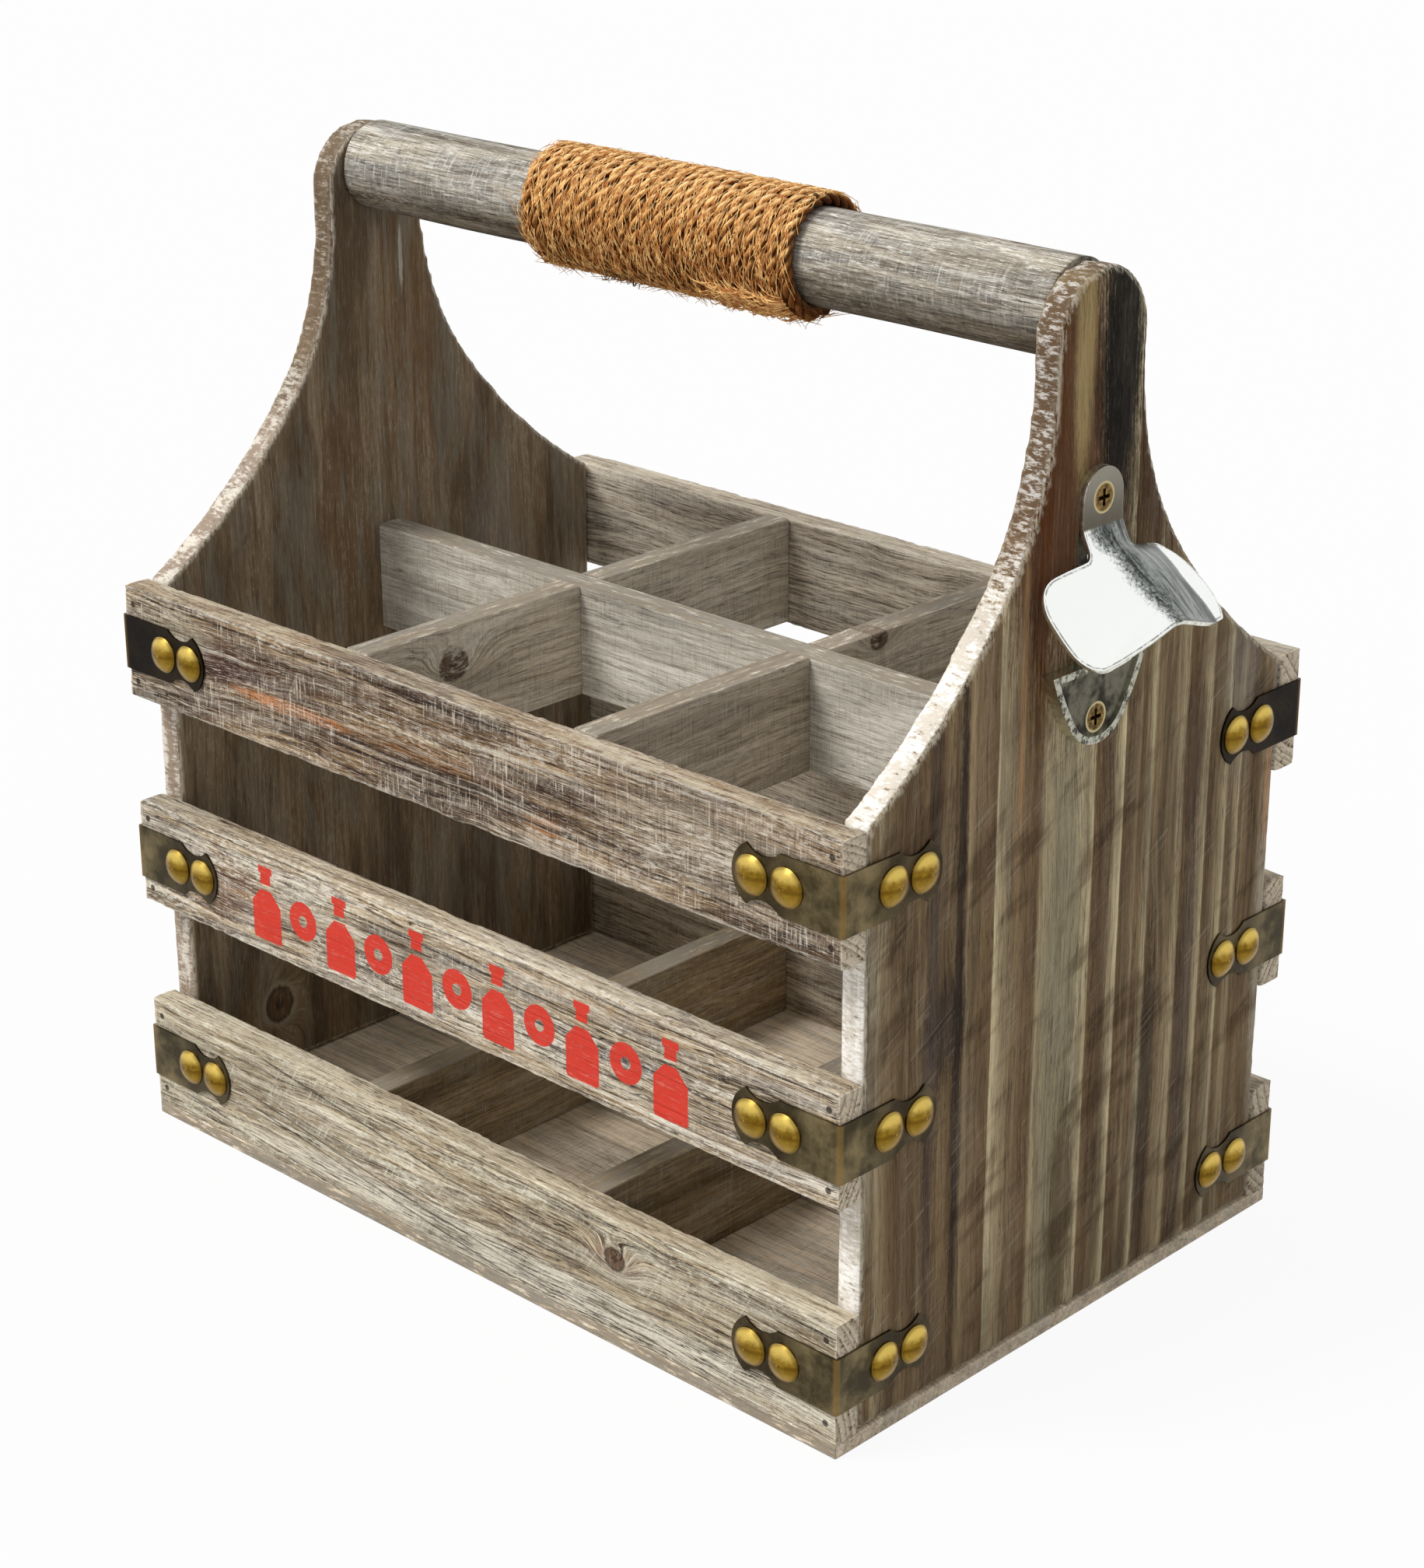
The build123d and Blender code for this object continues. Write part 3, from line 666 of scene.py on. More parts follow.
def arc_between(shape, start, stop, centre, steps):
    """Draws an arc from the vertex start to the place stop round centre, in the YZ plane."""
    begin = math.atan2(start.co.z - centre[1], start.co.y - centre[0])
    end = math.atan2(stop[1] - centre[1], stop[0] - centre[0])
    turn = (end - begin + math.pi) % (2 * math.pi) - math.pi
    spun = bmesh.ops.spin(
        shape, geom=[start], cent=(start.co.x, *centre), axis=(1, 0, 0),
        angle=turn, steps=steps, use_duplicate=False,
    )
    return [item for item in spun["geom_last"] if isinstance(item, bmesh.types.BMVert)][0]


def arc_centre(start, stop, level):
    """Centre at the height level of the circle through start and stop."""
    y1, z1 = start
    y2, z2 = stop
    y = ((y2 * y2 - y1 * y1) + (z2 - level) ** 2 - (z1 - level) ** 2) / (2 * (y2 - y1))
    return y, level


def panel_shape(node):
    """The panel's outline, filled and given its thickness."""
    low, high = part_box(node)
    shape = bmesh.new()
    half = high.y
    foot = shape.verts.new((low.x, half, low.z))
    shoulder = shape.verts.new((low.x, half, shoulder_place[1]))
    shape.edges.new((foot, shoulder))
    inner = shape.verts.new((low.x, shoulder_place[0], shoulder_place[1]))
    shape.edges.new((shoulder, inner))
    upper = arc_centre(join_place, (arch_radius, neck_turn_height), neck_turn_height)
    slope = (upper[1] - join_place[1]) / (upper[0] - join_place[0])
    mid_y = (join_place[0] + shoulder_place[0]) / 2
    mid_z = (join_place[1] + shoulder_place[1]) / 2
    chord = (shoulder_place[1] - join_place[1]) / (shoulder_place[0] - join_place[0])
    lower_y = (mid_z + mid_y / chord - join_place[1] + slope * join_place[0]) / (slope + 1 / chord)
    lower = (lower_y, join_place[1] + slope * (lower_y - join_place[0]))
    at_join = arc_between(shape, inner, join_place, lower, 24)
    at_neck = arc_between(shape, at_join, (arch_radius, neck_turn_height), upper, 24)
    at_arch = shape.verts.new((low.x, arch_radius, arch_height))
    shape.edges.new((at_neck, at_arch))
    arc_between(shape, at_arch, (0.0, arch_height + arch_radius), (0.0, arch_height), 12)
    bmesh.ops.mirror(shape, geom=shape.verts[:] + shape.edges[:], axis="Y", merge_dist=1e-5)
    bmesh.ops.remove_doubles(shape, verts=shape.verts, dist=1e-5)
    bottom = [v for v in shape.verts if v.co.z < low.z + 1e-6]
    shape.edges.new(bottom)
    face = bmesh.ops.contextual_create(shape, geom=shape.edges[:])["faces"]
    thick = bmesh.ops.extrude_face_region(shape, geom=face)
    moved = [item for item in thick["geom"] if isinstance(item, bmesh.types.BMVert)]
    bmesh.ops.translate(shape, verts=moved, vec=(high.x - low.x, 0, 0))
    bmesh.ops.recalc_face_normals(shape, faces=shape.faces)
    bmesh.ops.triangulate(shape, faces=[f for f in shape.faces if len(f.verts) > 4])
    return shape


panel_looks = {
    "end_panel_right": dict(
        seed=5.0, heart=(-8.0, -30.0), ring_step=5.4, rings=0.15, stained=0.3, filmed=0.07, washed=0.05,
        rim_paint=0.7, side_tone=(252, 249, 242), side_shade=(216, 206, 192), side_cover=0.97,
        side_thins=66.0, side_stretch=(1.1, 0.7, 0.3), sawn=0.0, cracked=0.5, deep=0.35, pale=0.05,
        smudged=0.55, scratched=0.16, scratched_to=50.0, fine=0.5, bright=0.07,
        early=(122, 98, 68), late=(246, 230, 186), dark=(40, 24, 16), film=(138, 130, 122),
        wash=(206, 196, 174),
        ring_edges=(
            (-77.0, 0.8, 0.45), (-66.4, 0.65, 0.3), (-60.6, 0.6, 0.2), (-52.4, 0.6, 0.12),
            (-44.8, 0.7, 0.05),
            (-34.8, 0.95, 0.2), (-18.0, 0.8, 0.3), (3.5, 0.9, 0.25), (15.2, 1.0, 0.15), (21.6, 0.75, 0.4),
            (27.4, 1.0, 0.3), (40.8, 0.85, 0.25), (51.2, 0.9, 0.35), (60.0, 0.95, 0.4), (65.6, 0.9, 0.5),
        ),
        patches=(
            (-60.0, -7.4, 110.0, 9.4, (150, 141, 114), 0.85),
            (94.0, -12.0, 70.0, 26.0, (88, 46, 10), 0.95),
            (94.0, 24.0, 50.0, 12.0, (70, 44, 26), 0.85),
            (118.0, -7.4, 36.0, 4.2, (168, 144, 96), 0.95),
            (114.0, 6.4, 50.0, 10.0, (20, 15, 11), 1.0),
            (30.0, -26.0, 60.0, 1.4, (178, 140, 98), 0.6),
            (24.0, -44.0, 40.0, 1.6, (178, 152, 116), 0.5),
            (-110.0, -4.0, 46.0, 6.0, (100, 82, 54), 0.75),
            (-38.0, -52.0, 16.0, 9.0, (46, 36, 34), 0.7),
            (-30.0, -47.0, 120.0, 2.2, (40, 28, 24), 0.8),
            (-40.0, -57.0, 110.0, 3.0, (74, 62, 58), 0.6),
            (-30.0, 8.0, 100.0, 4.0, (84, 62, 42), 0.6),
            (-90.0, 30.0, 60.0, 3.6, (56, 42, 32), 0.7),
            (-70.0, 45.0, 90.0, 4.0, (78, 66, 60), 0.6),
            (-40.0, -82.0, 60.0, 7.0, (186, 178, 156), 0.5),
            (-40.0, 80.0, 90.0, 5.0, (206, 196, 176), 0.6),
            (-14.0, 78.0, 22.0, 2.4, (186, 136, 90), 0.6),
            (4.0, 44.0, 26.0, 6.0, (76, 58, 46), 0.6),
            (20.0, 64.0, 30.0, 8.0, (136, 128, 120), 0.5),
        ),
    ),
    "end_panel_left": dict(
        seed=17.0, heart=(-170.0, 40.0), ring_step=6.0, rings=0.3, stained=0.6, filmed=0.5, washed=0.15,
        rim_paint=0.7, side_tone=(222, 214, 200), side_shade=(158, 140, 124), side_cover=0.95,
        side_thins=66.0, side_stretch=(1.1, 0.7, 0.3), sawn=0.0, cracked=0.4, deep=0.15, pale=0.1,
        bright=0.15, fine=0.35, knots=((-117.0, -49.8, 5.0),),
        early=(138, 118, 92), late=(104, 84, 62), dark=(66, 50, 38), film=(138, 132, 118),
        patches=(
            (70.0, 10.0, 40.0, 14.0, (126, 96, 60), 0.5),
            (30.0, -18.0, 34.0, 12.0, (112, 82, 52), 0.5),
            (-10.0, 40.0, 40.0, 16.0, (150, 142, 134), 0.4),
            (98.0, 8.0, 11.0, 0.9, (206, 200, 188), 0.9),
        ),
    ),
}
for node, look in panel_looks.items():
    low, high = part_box(node)
    middle = (low + high) / 2
    panel = add_piece(
        "worn_" + node,
        worn_mesh(node + "_wood", panel_shape(node), 0, look["seed"], panel_cell, 0.00016, 3),
        "weathered_panel",
        node,
    )
    put_on(panel, weathered(
        node + "_finish",
        ("Z", "Y", "X"),
        (middle.z * 1000, 0.0, middle.x * 1000),
        **look,
    ))


# The base board and the dividers: thin sawn boards of the same wood, halved into each other
# where they cross. The base board, the upper dividers and the long lower divider are painted paler than
# the outside, as painted light that lifts the shade inside the caddy.
pale_board = dict(
    deep=0.25, pale=0.4, bright=0.4, washed=0.5, stained=0.3, rings=0.4, fine=0.55,
    early=(224, 212, 192), late=(146, 130, 108), wash=(236, 230, 218),
)
brown_board = dict(
    deep=0.25, pale=0.2, bright=0.25, washed=0.2, stained=0.5, rings=0.5, fine=0.55,
    early=(178, 158, 122), late=(118, 96, 70),
)
inner_boards = {
    "base_board": (("X", "Y", "Z"), dict(pale_board, early=(252, 232, 202), stained=0.12)),
    "upper_divider_long": (("X", "Z", "Y"), dict(pale_board, early=(220, 214, 200))),
    "upper_divider_cross_left": (("Y", "Z", "X"), dict(pale_board, knots=((-51.0, 5.0, 4.4),))),
    "upper_divider_cross_right": (("Y", "Z", "X"), dict(pale_board, knots=((23.0, 14.0, 3.0),))),
    "lower_divider_long": (("X", "Z", "Y"), pale_board),
    "lower_divider_cross_left": (("Y", "Z", "X"), brown_board),
    "lower_divider_cross_right": (("Y", "Z", "X"), brown_board),
}
for number, (node, (axes, look)) in enumerate(inner_boards.items()):
    low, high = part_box(node)
    middle = (low + high) * 500
    centre = {"X": middle.x, "Y": middle.y, "Z": middle.z}
    put_on(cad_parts[node], weathered(
        node + "_finish",
        axes,
        [centre[axis] for axis in axes],
        seed=50.0 + 6 * number,
        heart=(38.0, -44.0),
        film=(176, 170, 156),
        side_tone=(126, 119, 107),
        side_shade=(128, 115, 96),
        side_cover=0.8,
        edge_level=(high - low)["XYZ".index(axes[1])] * 500,
        **look,
    ))


# The handle: a round softwood pole between the necks of the panels, held by brads through them.
# Its grey wood is whitewashed, and painted darker underneath as painted shade.
pole_sides = 96
pole_dent = 0.00022
low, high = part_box("handle_dowel")
pole = bmesh.new()
bmesh.ops.create_cone(
    pole, cap_ends=True, segments=pole_sides, radius1=(high.y - low.y) / 2,
    radius2=(high.y - low.y) / 2, depth=high.x - low.x,
    matrix=Matrix.Translation((low + high) / 2) @ Matrix.Rotation(math.pi / 2, 4, "Y"),
)
long_edges = [e for e in pole.edges if abs(e.verts[0].co.x - e.verts[1].co.x) > 0.1]
bmesh.ops.subdivide_edges(pole, edges=long_edges, cuts=180, use_grid_fill=True)
pole_axis = (low + high) / 2
for vertex in pole.verts:
    outward = Vector((0, vertex.co.y - pole_axis.y, vertex.co.z - pole_axis.z))
    dent = noise.noise(Vector((vertex.co.x * 25, vertex.co.y * 120, vertex.co.z * 120)))
    vertex.co -= outward.normalized() * pole_dent * (1 + dent)
pole_mesh = mesh_of(pole, "handle_pole_wood")
for face in pole_mesh.polygons:
    face.use_smooth = len(face.vertices) == 4
handle = add_piece("handle_pole", pole_mesh, "weathered_dowel", "handle_dowel")
put_on(handle, weathered(
    "handle_finish", ("X", "Y", "Z"), (0.0, 0.0, pole_axis.z * 1000), seed=71.0,
    heart=(22.0, -16.0), ring_step=2.4, rings=0.55, stained=0.45, filmed=0.7, washed=0.8,
    sawn=0.45, bright=0.65, cracked=0.9, deep=0.5, pale=0.6, fine=0.85, painted_under_shade=0.9,
    early=(188, 178, 160), late=(104, 92, 80), dark=(58, 50, 44),
    film=(146, 144, 138), wash=(228, 224, 214), knots=((104.0, 4.0, 3.0),),
    patches=((96.0, 6.0, 26.0, 4.0, (190, 128, 74), 0.5),),
))


# The rope: three-strand jute, wound 24 turns round the handle and tucked in at both ends. Each
# strand is its own twisted tube, with loose hairs standing off and a frayed end underneath.
turns = 24
rope_pitch = 3.95
rope_left = -49.4
coil_radius = 14.45
end_angle = math.radians(250)
rope_across = 4.0
strand_radius = rope_across / 2 / 2.1547
strand_offset = rope_across / 2 - strand_radius
lay_length = 11.0
points_per_turn = 64
turn_length = 2 * math.pi * coil_radius
hair_root = 1.6
hair_turn_length = 2 * math.pi * 16.4
hair_shares = (0.0, 0.25, 0.5, 0.75, 1.0)
hairs_over_all, hairs_of_tuft, dark_hair_count = 4200, 240, 16
pole_height = pole_axis.z * 1000
draw = random.Random(7)


def rope_point(turned, outward=0.0, sideways=0.0):
    """A place on the winding after that many turns, in metres, off the rope's own middle."""
    angle = end_angle + turned * 2 * math.pi
    reach = coil_radius + outward
    return Vector((
        rope_left + turned * rope_pitch - sideways,
        reach * math.cos(angle),
        pole_height + reach * math.sin(angle),
    )) / 1000


def tube_curve(name, thickness, sides):
    """An empty curve that becomes a tube of that radius in millimetres."""
    curve = bpy.data.curves.new(name, "CURVE")
    curve.dimensions = "3D"
    curve.bevel_depth = thickness / 1000
    curve.bevel_resolution = sides
    curve.use_fill_caps = True
    return curve


def add_run(curve, places, radii=None):
    """Adds one run of straight pieces through the places."""
    run = curve.splines.new("POLY")
    run.points.add(len(places) - 1)
    for index, (point, place) in enumerate(zip(run.points, places)):
        point.co = (*place, 1)
        point.radius = radii[index] if radii else 1.0


def curve_mesh(curve):
    """The curve's tube as a smooth mesh."""
    carrier = bpy.data.objects.new(curve.name, curve)
    scene.collection.objects.link(carrier)
    graph = bpy.context.evaluated_depsgraph_get()
    mesh = bpy.data.meshes.new_from_object(carrier.evaluated_get(graph))
    bpy.data.objects.remove(carrier)
    return smooth_faces(mesh)


jute, jute_shader, jute_place = new_finish("jute_strands", 0.85)
jute_shader.inputs["Specular IOR Level"].default_value = 0.15
strand_u, strand_v, _ = jute_place.node("TexCoord", out="UV").parts()
along = strand_u * (turns * turn_length)
around = strand_v * (2 * math.pi * strand_radius) + along * 0.3
thread = vector(along, around).cloud((0.3, 2.1, 1.0), 4, 0.7, 5)
lumps = jute_place.cloud((0.5, 0.5, 0.5), 3, 0.6, 3)
patch = jute_place.cloud((0.13, 0.13, 0.13), 2, 0.5, 9)
upward = jute_place.node("NewGeometry", out="Normal").parts()[2]
_, rope_y, rope_z = jute_place.parts()
from_axis = away(rope_y, rope_z, (0.0, pole_height), (1.0, 1.0))
# The strands carry painted light: a painted highlight on their upper sides, and painted shade on their
# undersides and in the hollows next to the pole.
jute_tone = coats(
    lumps.step(0.3, 0.7).blend((206, 134, 62), (255, 196, 118)),
    (thread.step(0.53, 0.68) * 0.75, (255, 228, 168)),
    (thread.step(0.49, 0.36) * 0.9, (96, 50, 16)),
    (upward.step(0.6, -0.3) * 0.9, (130, 100, 68), "MULTIPLY"),
    (upward.step(0.4, 0.9) * 0.6, (255, 232, 178)),
    (from_axis.step(coil_radius + 1.35, coil_radius + 0.4) * 0.8, (82, 38, 10)),
    (patch.step(0.5, 0.7) * 0.35, (166, 104, 48)),
    ((lumps * 0.6 + patch * 0.4).step(0.595, 0.625) * 0.9, (46, 22, 8)),
)
dress(jute_shader, jute_tone, bump=(thread * 0.7 + lumps * 0.3, 1.0, 0.7))

for strand in range(3):
    strand_curve = tube_curve(f"rope_strand_{strand + 1}", strand_radius, 1)
    places = []
    for index in range(turns * points_per_turn + 1):
        turned = index / points_per_turn
        length = turned * turn_length
        wobble = 0.16 * noise.noise(Vector((length * 0.3, 3.0 * strand, 1.7)))
        twist = 2 * math.pi * (length / lay_length + strand / 3)
        drift = 0.5 * noise.noise(Vector((length * 0.04, 8.0, 0)))
        places.append(rope_point(
            turned,
            (strand_offset + wobble) * math.cos(twist),
            (strand_offset + wobble) * math.sin(twist) + drift,
        ))
    add_run(strand_curve, places)
    strand_mesh = curve_mesh(strand_curve)
    put_on(add_piece(f"rope_strand_{strand + 1}", strand_mesh, "jute_rope", "rope_winding"), jute)

hair_curve = tube_curve("rope_hairs", 0.11, 0)
for count in range(hairs_over_all):
    turned = draw.uniform(0.2, turns - 0.2)
    length = draw.uniform(3.0, 9.0)
    lean = draw.uniform(-1.1, 1.1)
    curl = draw.uniform(-2.4, 2.4)
    on_top = math.sin(end_angle + turned * 2 * math.pi) > 0.2
    lift = draw.choice((0.12, 0.25, 0.5, 1.9)) * draw.uniform(0.4, 1.3) * (0.3 if on_top else 1.0)
    side = draw.uniform(-1.6, 1.6)
    sense = draw.choice((-1, 1))
    add_run(hair_curve, [rope_point(
        turned + sense * share * length / hair_turn_length,
        hair_root + lift * share * share,
        side + lean * share * length * 0.45 + curl * share * (1 - share) * 1.6,
    ) for share in hair_shares], (1.0, 1.0, 0.9, 0.7, 0.35))
for count in range(hairs_of_tuft):
    turned = math.floor(turns - draw.uniform(0.0, 6.2)) + draw.uniform(-0.11, -0.015)
    length = draw.uniform(3.0, 8.0)
    lift = draw.uniform(0.5, 2.0)
    curl = draw.uniform(-2.0, 2.0)
    add_run(hair_curve, [rope_point(
        turned + curl * share * share / 50,
        1.5 + lift * math.sin(share * 2.6),
        length * (share - 0.3) + draw.uniform(-0.2, 0.2),
    ) for share in hair_shares], (1.6, 1.6, 1.5, 1.2, 0.6))
rope_hairs = add_piece("rope_hairs", curve_mesh(hair_curve), "jute_rope")

dark_curve = tube_curve("rope_dark_hairs", 0.13, 0)
for count in range(dark_hair_count):
    turned = draw.choice((7, 8, 9)) + draw.uniform(-0.06, 0.0)
    length = draw.uniform(3.0, 8.0)
    lean = draw.uniform(-1.0, 1.0)
    add_run(dark_curve, [rope_point(
        turned + 0.03 * lean * share,
        hair_root + 5.0 * share * (1 - share) + draw.uniform(0.0, 0.5),
        lean * length * share,
    ) for share in hair_shares], (1.0, 1.0, 0.9, 0.7, 0.4))
dark_hairs = add_piece("rope_dark_hairs", curve_mesh(dark_curve), "jute_rope")

straw, straw_shader, straw_place = new_finish("jute_hairs", 0.7)
shades = straw_place.cloud((0.5, 0.5, 0.5), 2, 0.5, 2)
dress(straw_shader, shades.step(0.35, 0.65).blend((196, 126, 56), (255, 208, 134)))
put_on(rope_hairs, straw)
tar, tar_shader, tar_place = new_finish("jute_dark_hairs", 0.8)
shades = tar_place.cloud((0.5, 0.5, 0.5), 2, 0.5, 2)
dress(tar_shader, shades.blend((40, 24, 12), (78, 48, 24)))
put_on(dark_hairs, tar)


# The corner straps: thin steel bent round each corner over a slat, with wasp-waisted ends,
# bronze-plated and darkened. Along the fold the plating is rubbed brighter and a highlight is painted.
corner_x, corner_y = 132.9, 89.9
corners = [
    (face, end, row)
    for face in ("front", "back")
    for end in ("left", "right")
    for row in ("bottom", "middle", "top")
]
strap_finishes = {}
for tint, (plain, worn_tone, gloss) in {
    "dark": ((16, 8, 3), (36, 26, 13), 0.5),
    "olive": ((58, 50, 30), (128, 113, 80), 0.4),
}.items():
    bronze, bronze_shader, bronze_place = new_finish("bronze_" + tint, gloss, 1.0)
    blotch = bronze_place.cloud((0.09, 0.09, 0.09), 4, 0.6, 4)
    speck = bronze_place.cloud((1.3, 1.3, 1.3), 3, 0.6, 6)
    strap_x, strap_y = (abs(part) for part in bronze_place.parts()[:2])
    # Along the fold the plating is worn bright, and a painted highlight lies there too.
    fold_wear_and_highlight = away(strap_x, strap_y, (corner_x, corner_y), (2.2, 2.2)).step(1.0, 0.3)
    reach = (corner_x - strap_x).larger(corner_y - strap_y) + (blotch - 0.5) * 14
    bronze_tone = coats(
        blotch.step(0.35, 0.7).blend(plain, worn_tone),
        (speck.step(0.6, 0.75) * 0.4, (40, 31, 18)),
        (reach.step(10.0, 19.0) * 0.6, (44, 34, 20)),
        (fold_wear_and_highlight * 0.45, (150, 118, 66)),
    )
    dress(bronze_shader, bronze_tone, speck * 0.25 + (gloss - 0.12), (speck, 0.2, 0.05))
    strap_finishes[tint] = bronze
for face, end, row in corners:
    tint = "dark" if row == "top" and (face, end) != ("front", "right") else "olive"
    put_on(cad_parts[f"corner_strap_{face}_{end}_{row}"], strap_finishes[tint])


# The tacks: domed upholstery nails through the straps, steel under antique brass plate, mottled
# and with dark pits. Each dome carries painted reflections: a painted highlight on its upper part, a
# lighter lower part, a dark painted band between them and a darker painted rim.
brass, brass_shader, brass_place = new_finish("antique_brass", 0.3, 0.95)
mottle = brass_place.cloud((0.5, 0.5, 0.5), 4, 0.65, 3)
pits = brass_place.cloud((2.6, 2.6, 2.6), 3, 0.6, 8)
endward, sideward, upward = brass_place.node("NewGeometry", out="Normal").parts()
# Painted reflections, set by the way each part of a dome faces.
tilt = upward + (mottle - 0.5) * 0.24
crown = abs(endward).larger(abs(sideward))
brass_tone = coats(
    mottle.step(0.3, 0.7).blend((118, 90, 20), (150, 118, 38)),
    (tilt.step(0.16, 0.46) * 0.75, (230, 200, 104)),
    (tilt.step(-0.1, -0.36) * 0.3, (186, 154, 72)),
    (abs(tilt - 0.01).step(0.12, 0.02) * 0.6, (92, 66, 10)),
    (crown.step(0.84, 0.74) * 0.7, (90, 66, 22)),
    (pits.step(0.62, 0.76) * 0.3, (86, 62, 24)),
)
dress(brass_shader, brass_tone, mottle * 0.2 + 0.2, (pits, 0.12, 0.04))
for face, end, row in corners:
    put_on(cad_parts[f"strap_tacks_{face}_{end}_{row}"], brass)


# The brads: thin steel pins driven below the surface, which hold the slats, the dividers, the
# base and the handle. Only their dark heads show.
steel_pin, pin_shader, pin_place = new_finish("brad_steel", 0.5, 0.8)
rust = pin_place.cloud((1.5, 1.5, 1.5), 3, 0.6, 2)
dress(pin_shader, rust.step(0.4, 0.6).blend((70, 66, 62), (96, 66, 44)))
for node in sorted(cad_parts):
    if "brads" in node:
        put_on(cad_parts[node], steel_pin)


# The bottle opener's backplate: sheet steel screwed flat on the right panel, its foot pressed
# out into a dished lip that grips the cap. Zinc-plated, gone grey and scuffed bright on the lip; its
# edges carry a painted highlight.
plate, plate_shader, plate_place = new_finish("grey_zinc", 0.3, 1.0)
murk = plate_place.cloud((0.16, 0.16, 0.16), 4, 0.6, 5)
scuffs = plate_place.cloud((0.6, 0.6, 0.6), 4, 0.7, 8)
lip_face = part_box("opener_backplate")[1].x * 1000
on_lip = plate_place.parts()[0].step(lip_face - 0.4, lip_face - 0.1)
# Painted highlight: the sheet is painted bright where it turns away from the panel, at its edges and
# round the lip.
outward = plate_place.node("NewGeometry", out="Normal").parts()[0]
plate_tone = coats(
    murk.step(0.4, 0.62).blend((38, 34, 25), (102, 98, 84)),
    (scuffs.step(0.55, 0.7) * 0.4, (40, 36, 28)),
    (on_lip * scuffs.step(0.4, 0.56) * 0.7, (206, 206, 190)),
    (outward.step(0.96, 0.85), (228, 230, 216)),
)
dress(plate_shader, plate_tone, scuffs * 0.25 + 0.16, (scuffs, 0.12, 0.03))
put_on(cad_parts["opener_backplate"], plate)


# The opener's hood: one steel sheet with a rounded tab under the upper screw, a short neck, and
# a flared hood whose wings turn down from a flat crest. It is brushed; its wings are painted near-white
# as a painted reflection, with painted shade along the crest and down the tab.
upper_low, upper_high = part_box("opener_screw_upper")
hood_centre_y = (upper_low.y + upper_high.y) / 2
hood_screw_level = (upper_low.z + upper_high.z) / 2
panel_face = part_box("end_panel_right")[1].x
hood_sheet = 0.0012
tab_half = 0.0075
tab_face = 2 * hood_sheet
fold_drop = 0.0067
neck_reach, neck_drop = 0.0054, 0.0110
tip_reach, tip_drop = 0.0260, 0.0252
hood_half = 0.0260
back_reach, corner_reach = 0.0018, 0.0208
ridge_flat, ridge_bow = 0.0035, 0.0050
wing_slope, wing_back_share = 0.46, 0.8
corner_round, neck_round = 0.0078, 0.0016
sheet_cell = 0.00063
bend_steps = (-0.0009, -0.0003, 0.0003, 0.0009)
neck_run = math.hypot(neck_reach - tab_face, neck_drop - fold_drop)
crest_fall = (tip_drop - neck_drop) / (tip_reach - neck_reach)
crest_share = math.hypot(1, crest_fall)
neck_end = fold_drop + neck_run


def flat_run(reach):
    """Distance down the flat sheet, from the screw, of a place that far from the panel."""
    return neck_end + (reach - neck_reach) * crest_share


def profile(run):
    """Reach and drop of the sheet's middle line at that distance down it."""
    if run < fold_drop:
        return tab_face, run
    if run < neck_end:
        share = (run - fold_drop) / neck_run
        return tab_face + share * (neck_reach - tab_face), fold_drop + share * (neck_drop - fold_drop)
    reach = neck_reach + (run - neck_end) / crest_share
    return reach, neck_drop + (reach - neck_reach) * crest_fall


def share_of(value, whole):
    """The value as a share of the whole, kept from 0 to 1."""
    return min(1.0, max(0.0, value / whole))


def formed(place):
    """A point of the flat sheet, at y and minus its run in z, where the press leaves it."""
    run = -place.z
    near = [profile(run + step) for step in bend_steps]
    reach = sum(point[0] for point in near) / len(near)
    drop = sum(point[1] for point in near) / len(near)
    wing = share_of(abs(place.y) - tab_half, 0.002)
    crest_at = neck_reach + (run - neck_end) / crest_share
    reach += (crest_at - reach) * wing
    drop += (neck_drop + (crest_at - neck_reach) * crest_fall - drop) * wing
    from_ridge = place.y - ridge_bow * math.sin(math.pi * share_of(crest_at - 0.004, 0.020))
    lift = wing_back_share + (1 - wing_back_share) * share_of(crest_at - 0.003, 0.018)
    fall = wing_slope * (math.hypot(from_ridge, ridge_flat) - ridge_flat) * lift
    drop += fall * max(wing, share_of(run - fold_drop, 0.005))
    return Vector((panel_face + reach, hood_centre_y + place.y, hood_screw_level - drop))


sheet = bmesh.new()
tab_top = sheet.verts.new((0, 0, tab_half))
tab_side = arc_between(sheet, tab_top, (tab_half, 0.0), (0.0, 0.0), 16)
neck_side = sheet.verts.new((0, tab_half, -neck_end))
wing_back = sheet.verts.new((0, hood_half, -flat_run(back_reach)))
wing_front = sheet.verts.new((0, hood_half, -flat_run(corner_reach)))
for pair in ((tab_side, neck_side), (neck_side, wing_back), (wing_back, wing_front)):
    sheet.edges.new(pair)
bow = flat_run(tip_reach) - flat_run(corner_reach)
bow_radius = (hood_half**2 + bow**2) / (2 * bow)
bow_centre = (0.0, bow_radius - flat_run(tip_reach))
arc_between(sheet, wing_front, (0.0, -flat_run(tip_reach)), bow_centre, 6)
bmesh.ops.mirror(sheet, geom=sheet.verts[:] + sheet.edges[:], axis="Y", merge_dist=1e-5)
bmesh.ops.remove_doubles(sheet, verts=sheet.verts, dist=1e-5)
bmesh.ops.contextual_create(sheet, geom=sheet.edges[:])
wing_corners = [v for v in sheet.verts if abs(abs(v.co.y) - hood_half) < 1e-5]
bmesh.ops.bevel(
    sheet, geom=wing_corners, offset=corner_round, affect="VERTICES", segments=8, profile=0.5,
    material=-1,
)
necks = [v for v in sheet.verts if abs(abs(v.co.y) - tab_half) < 1e-5 and v.co.z < -0.005]
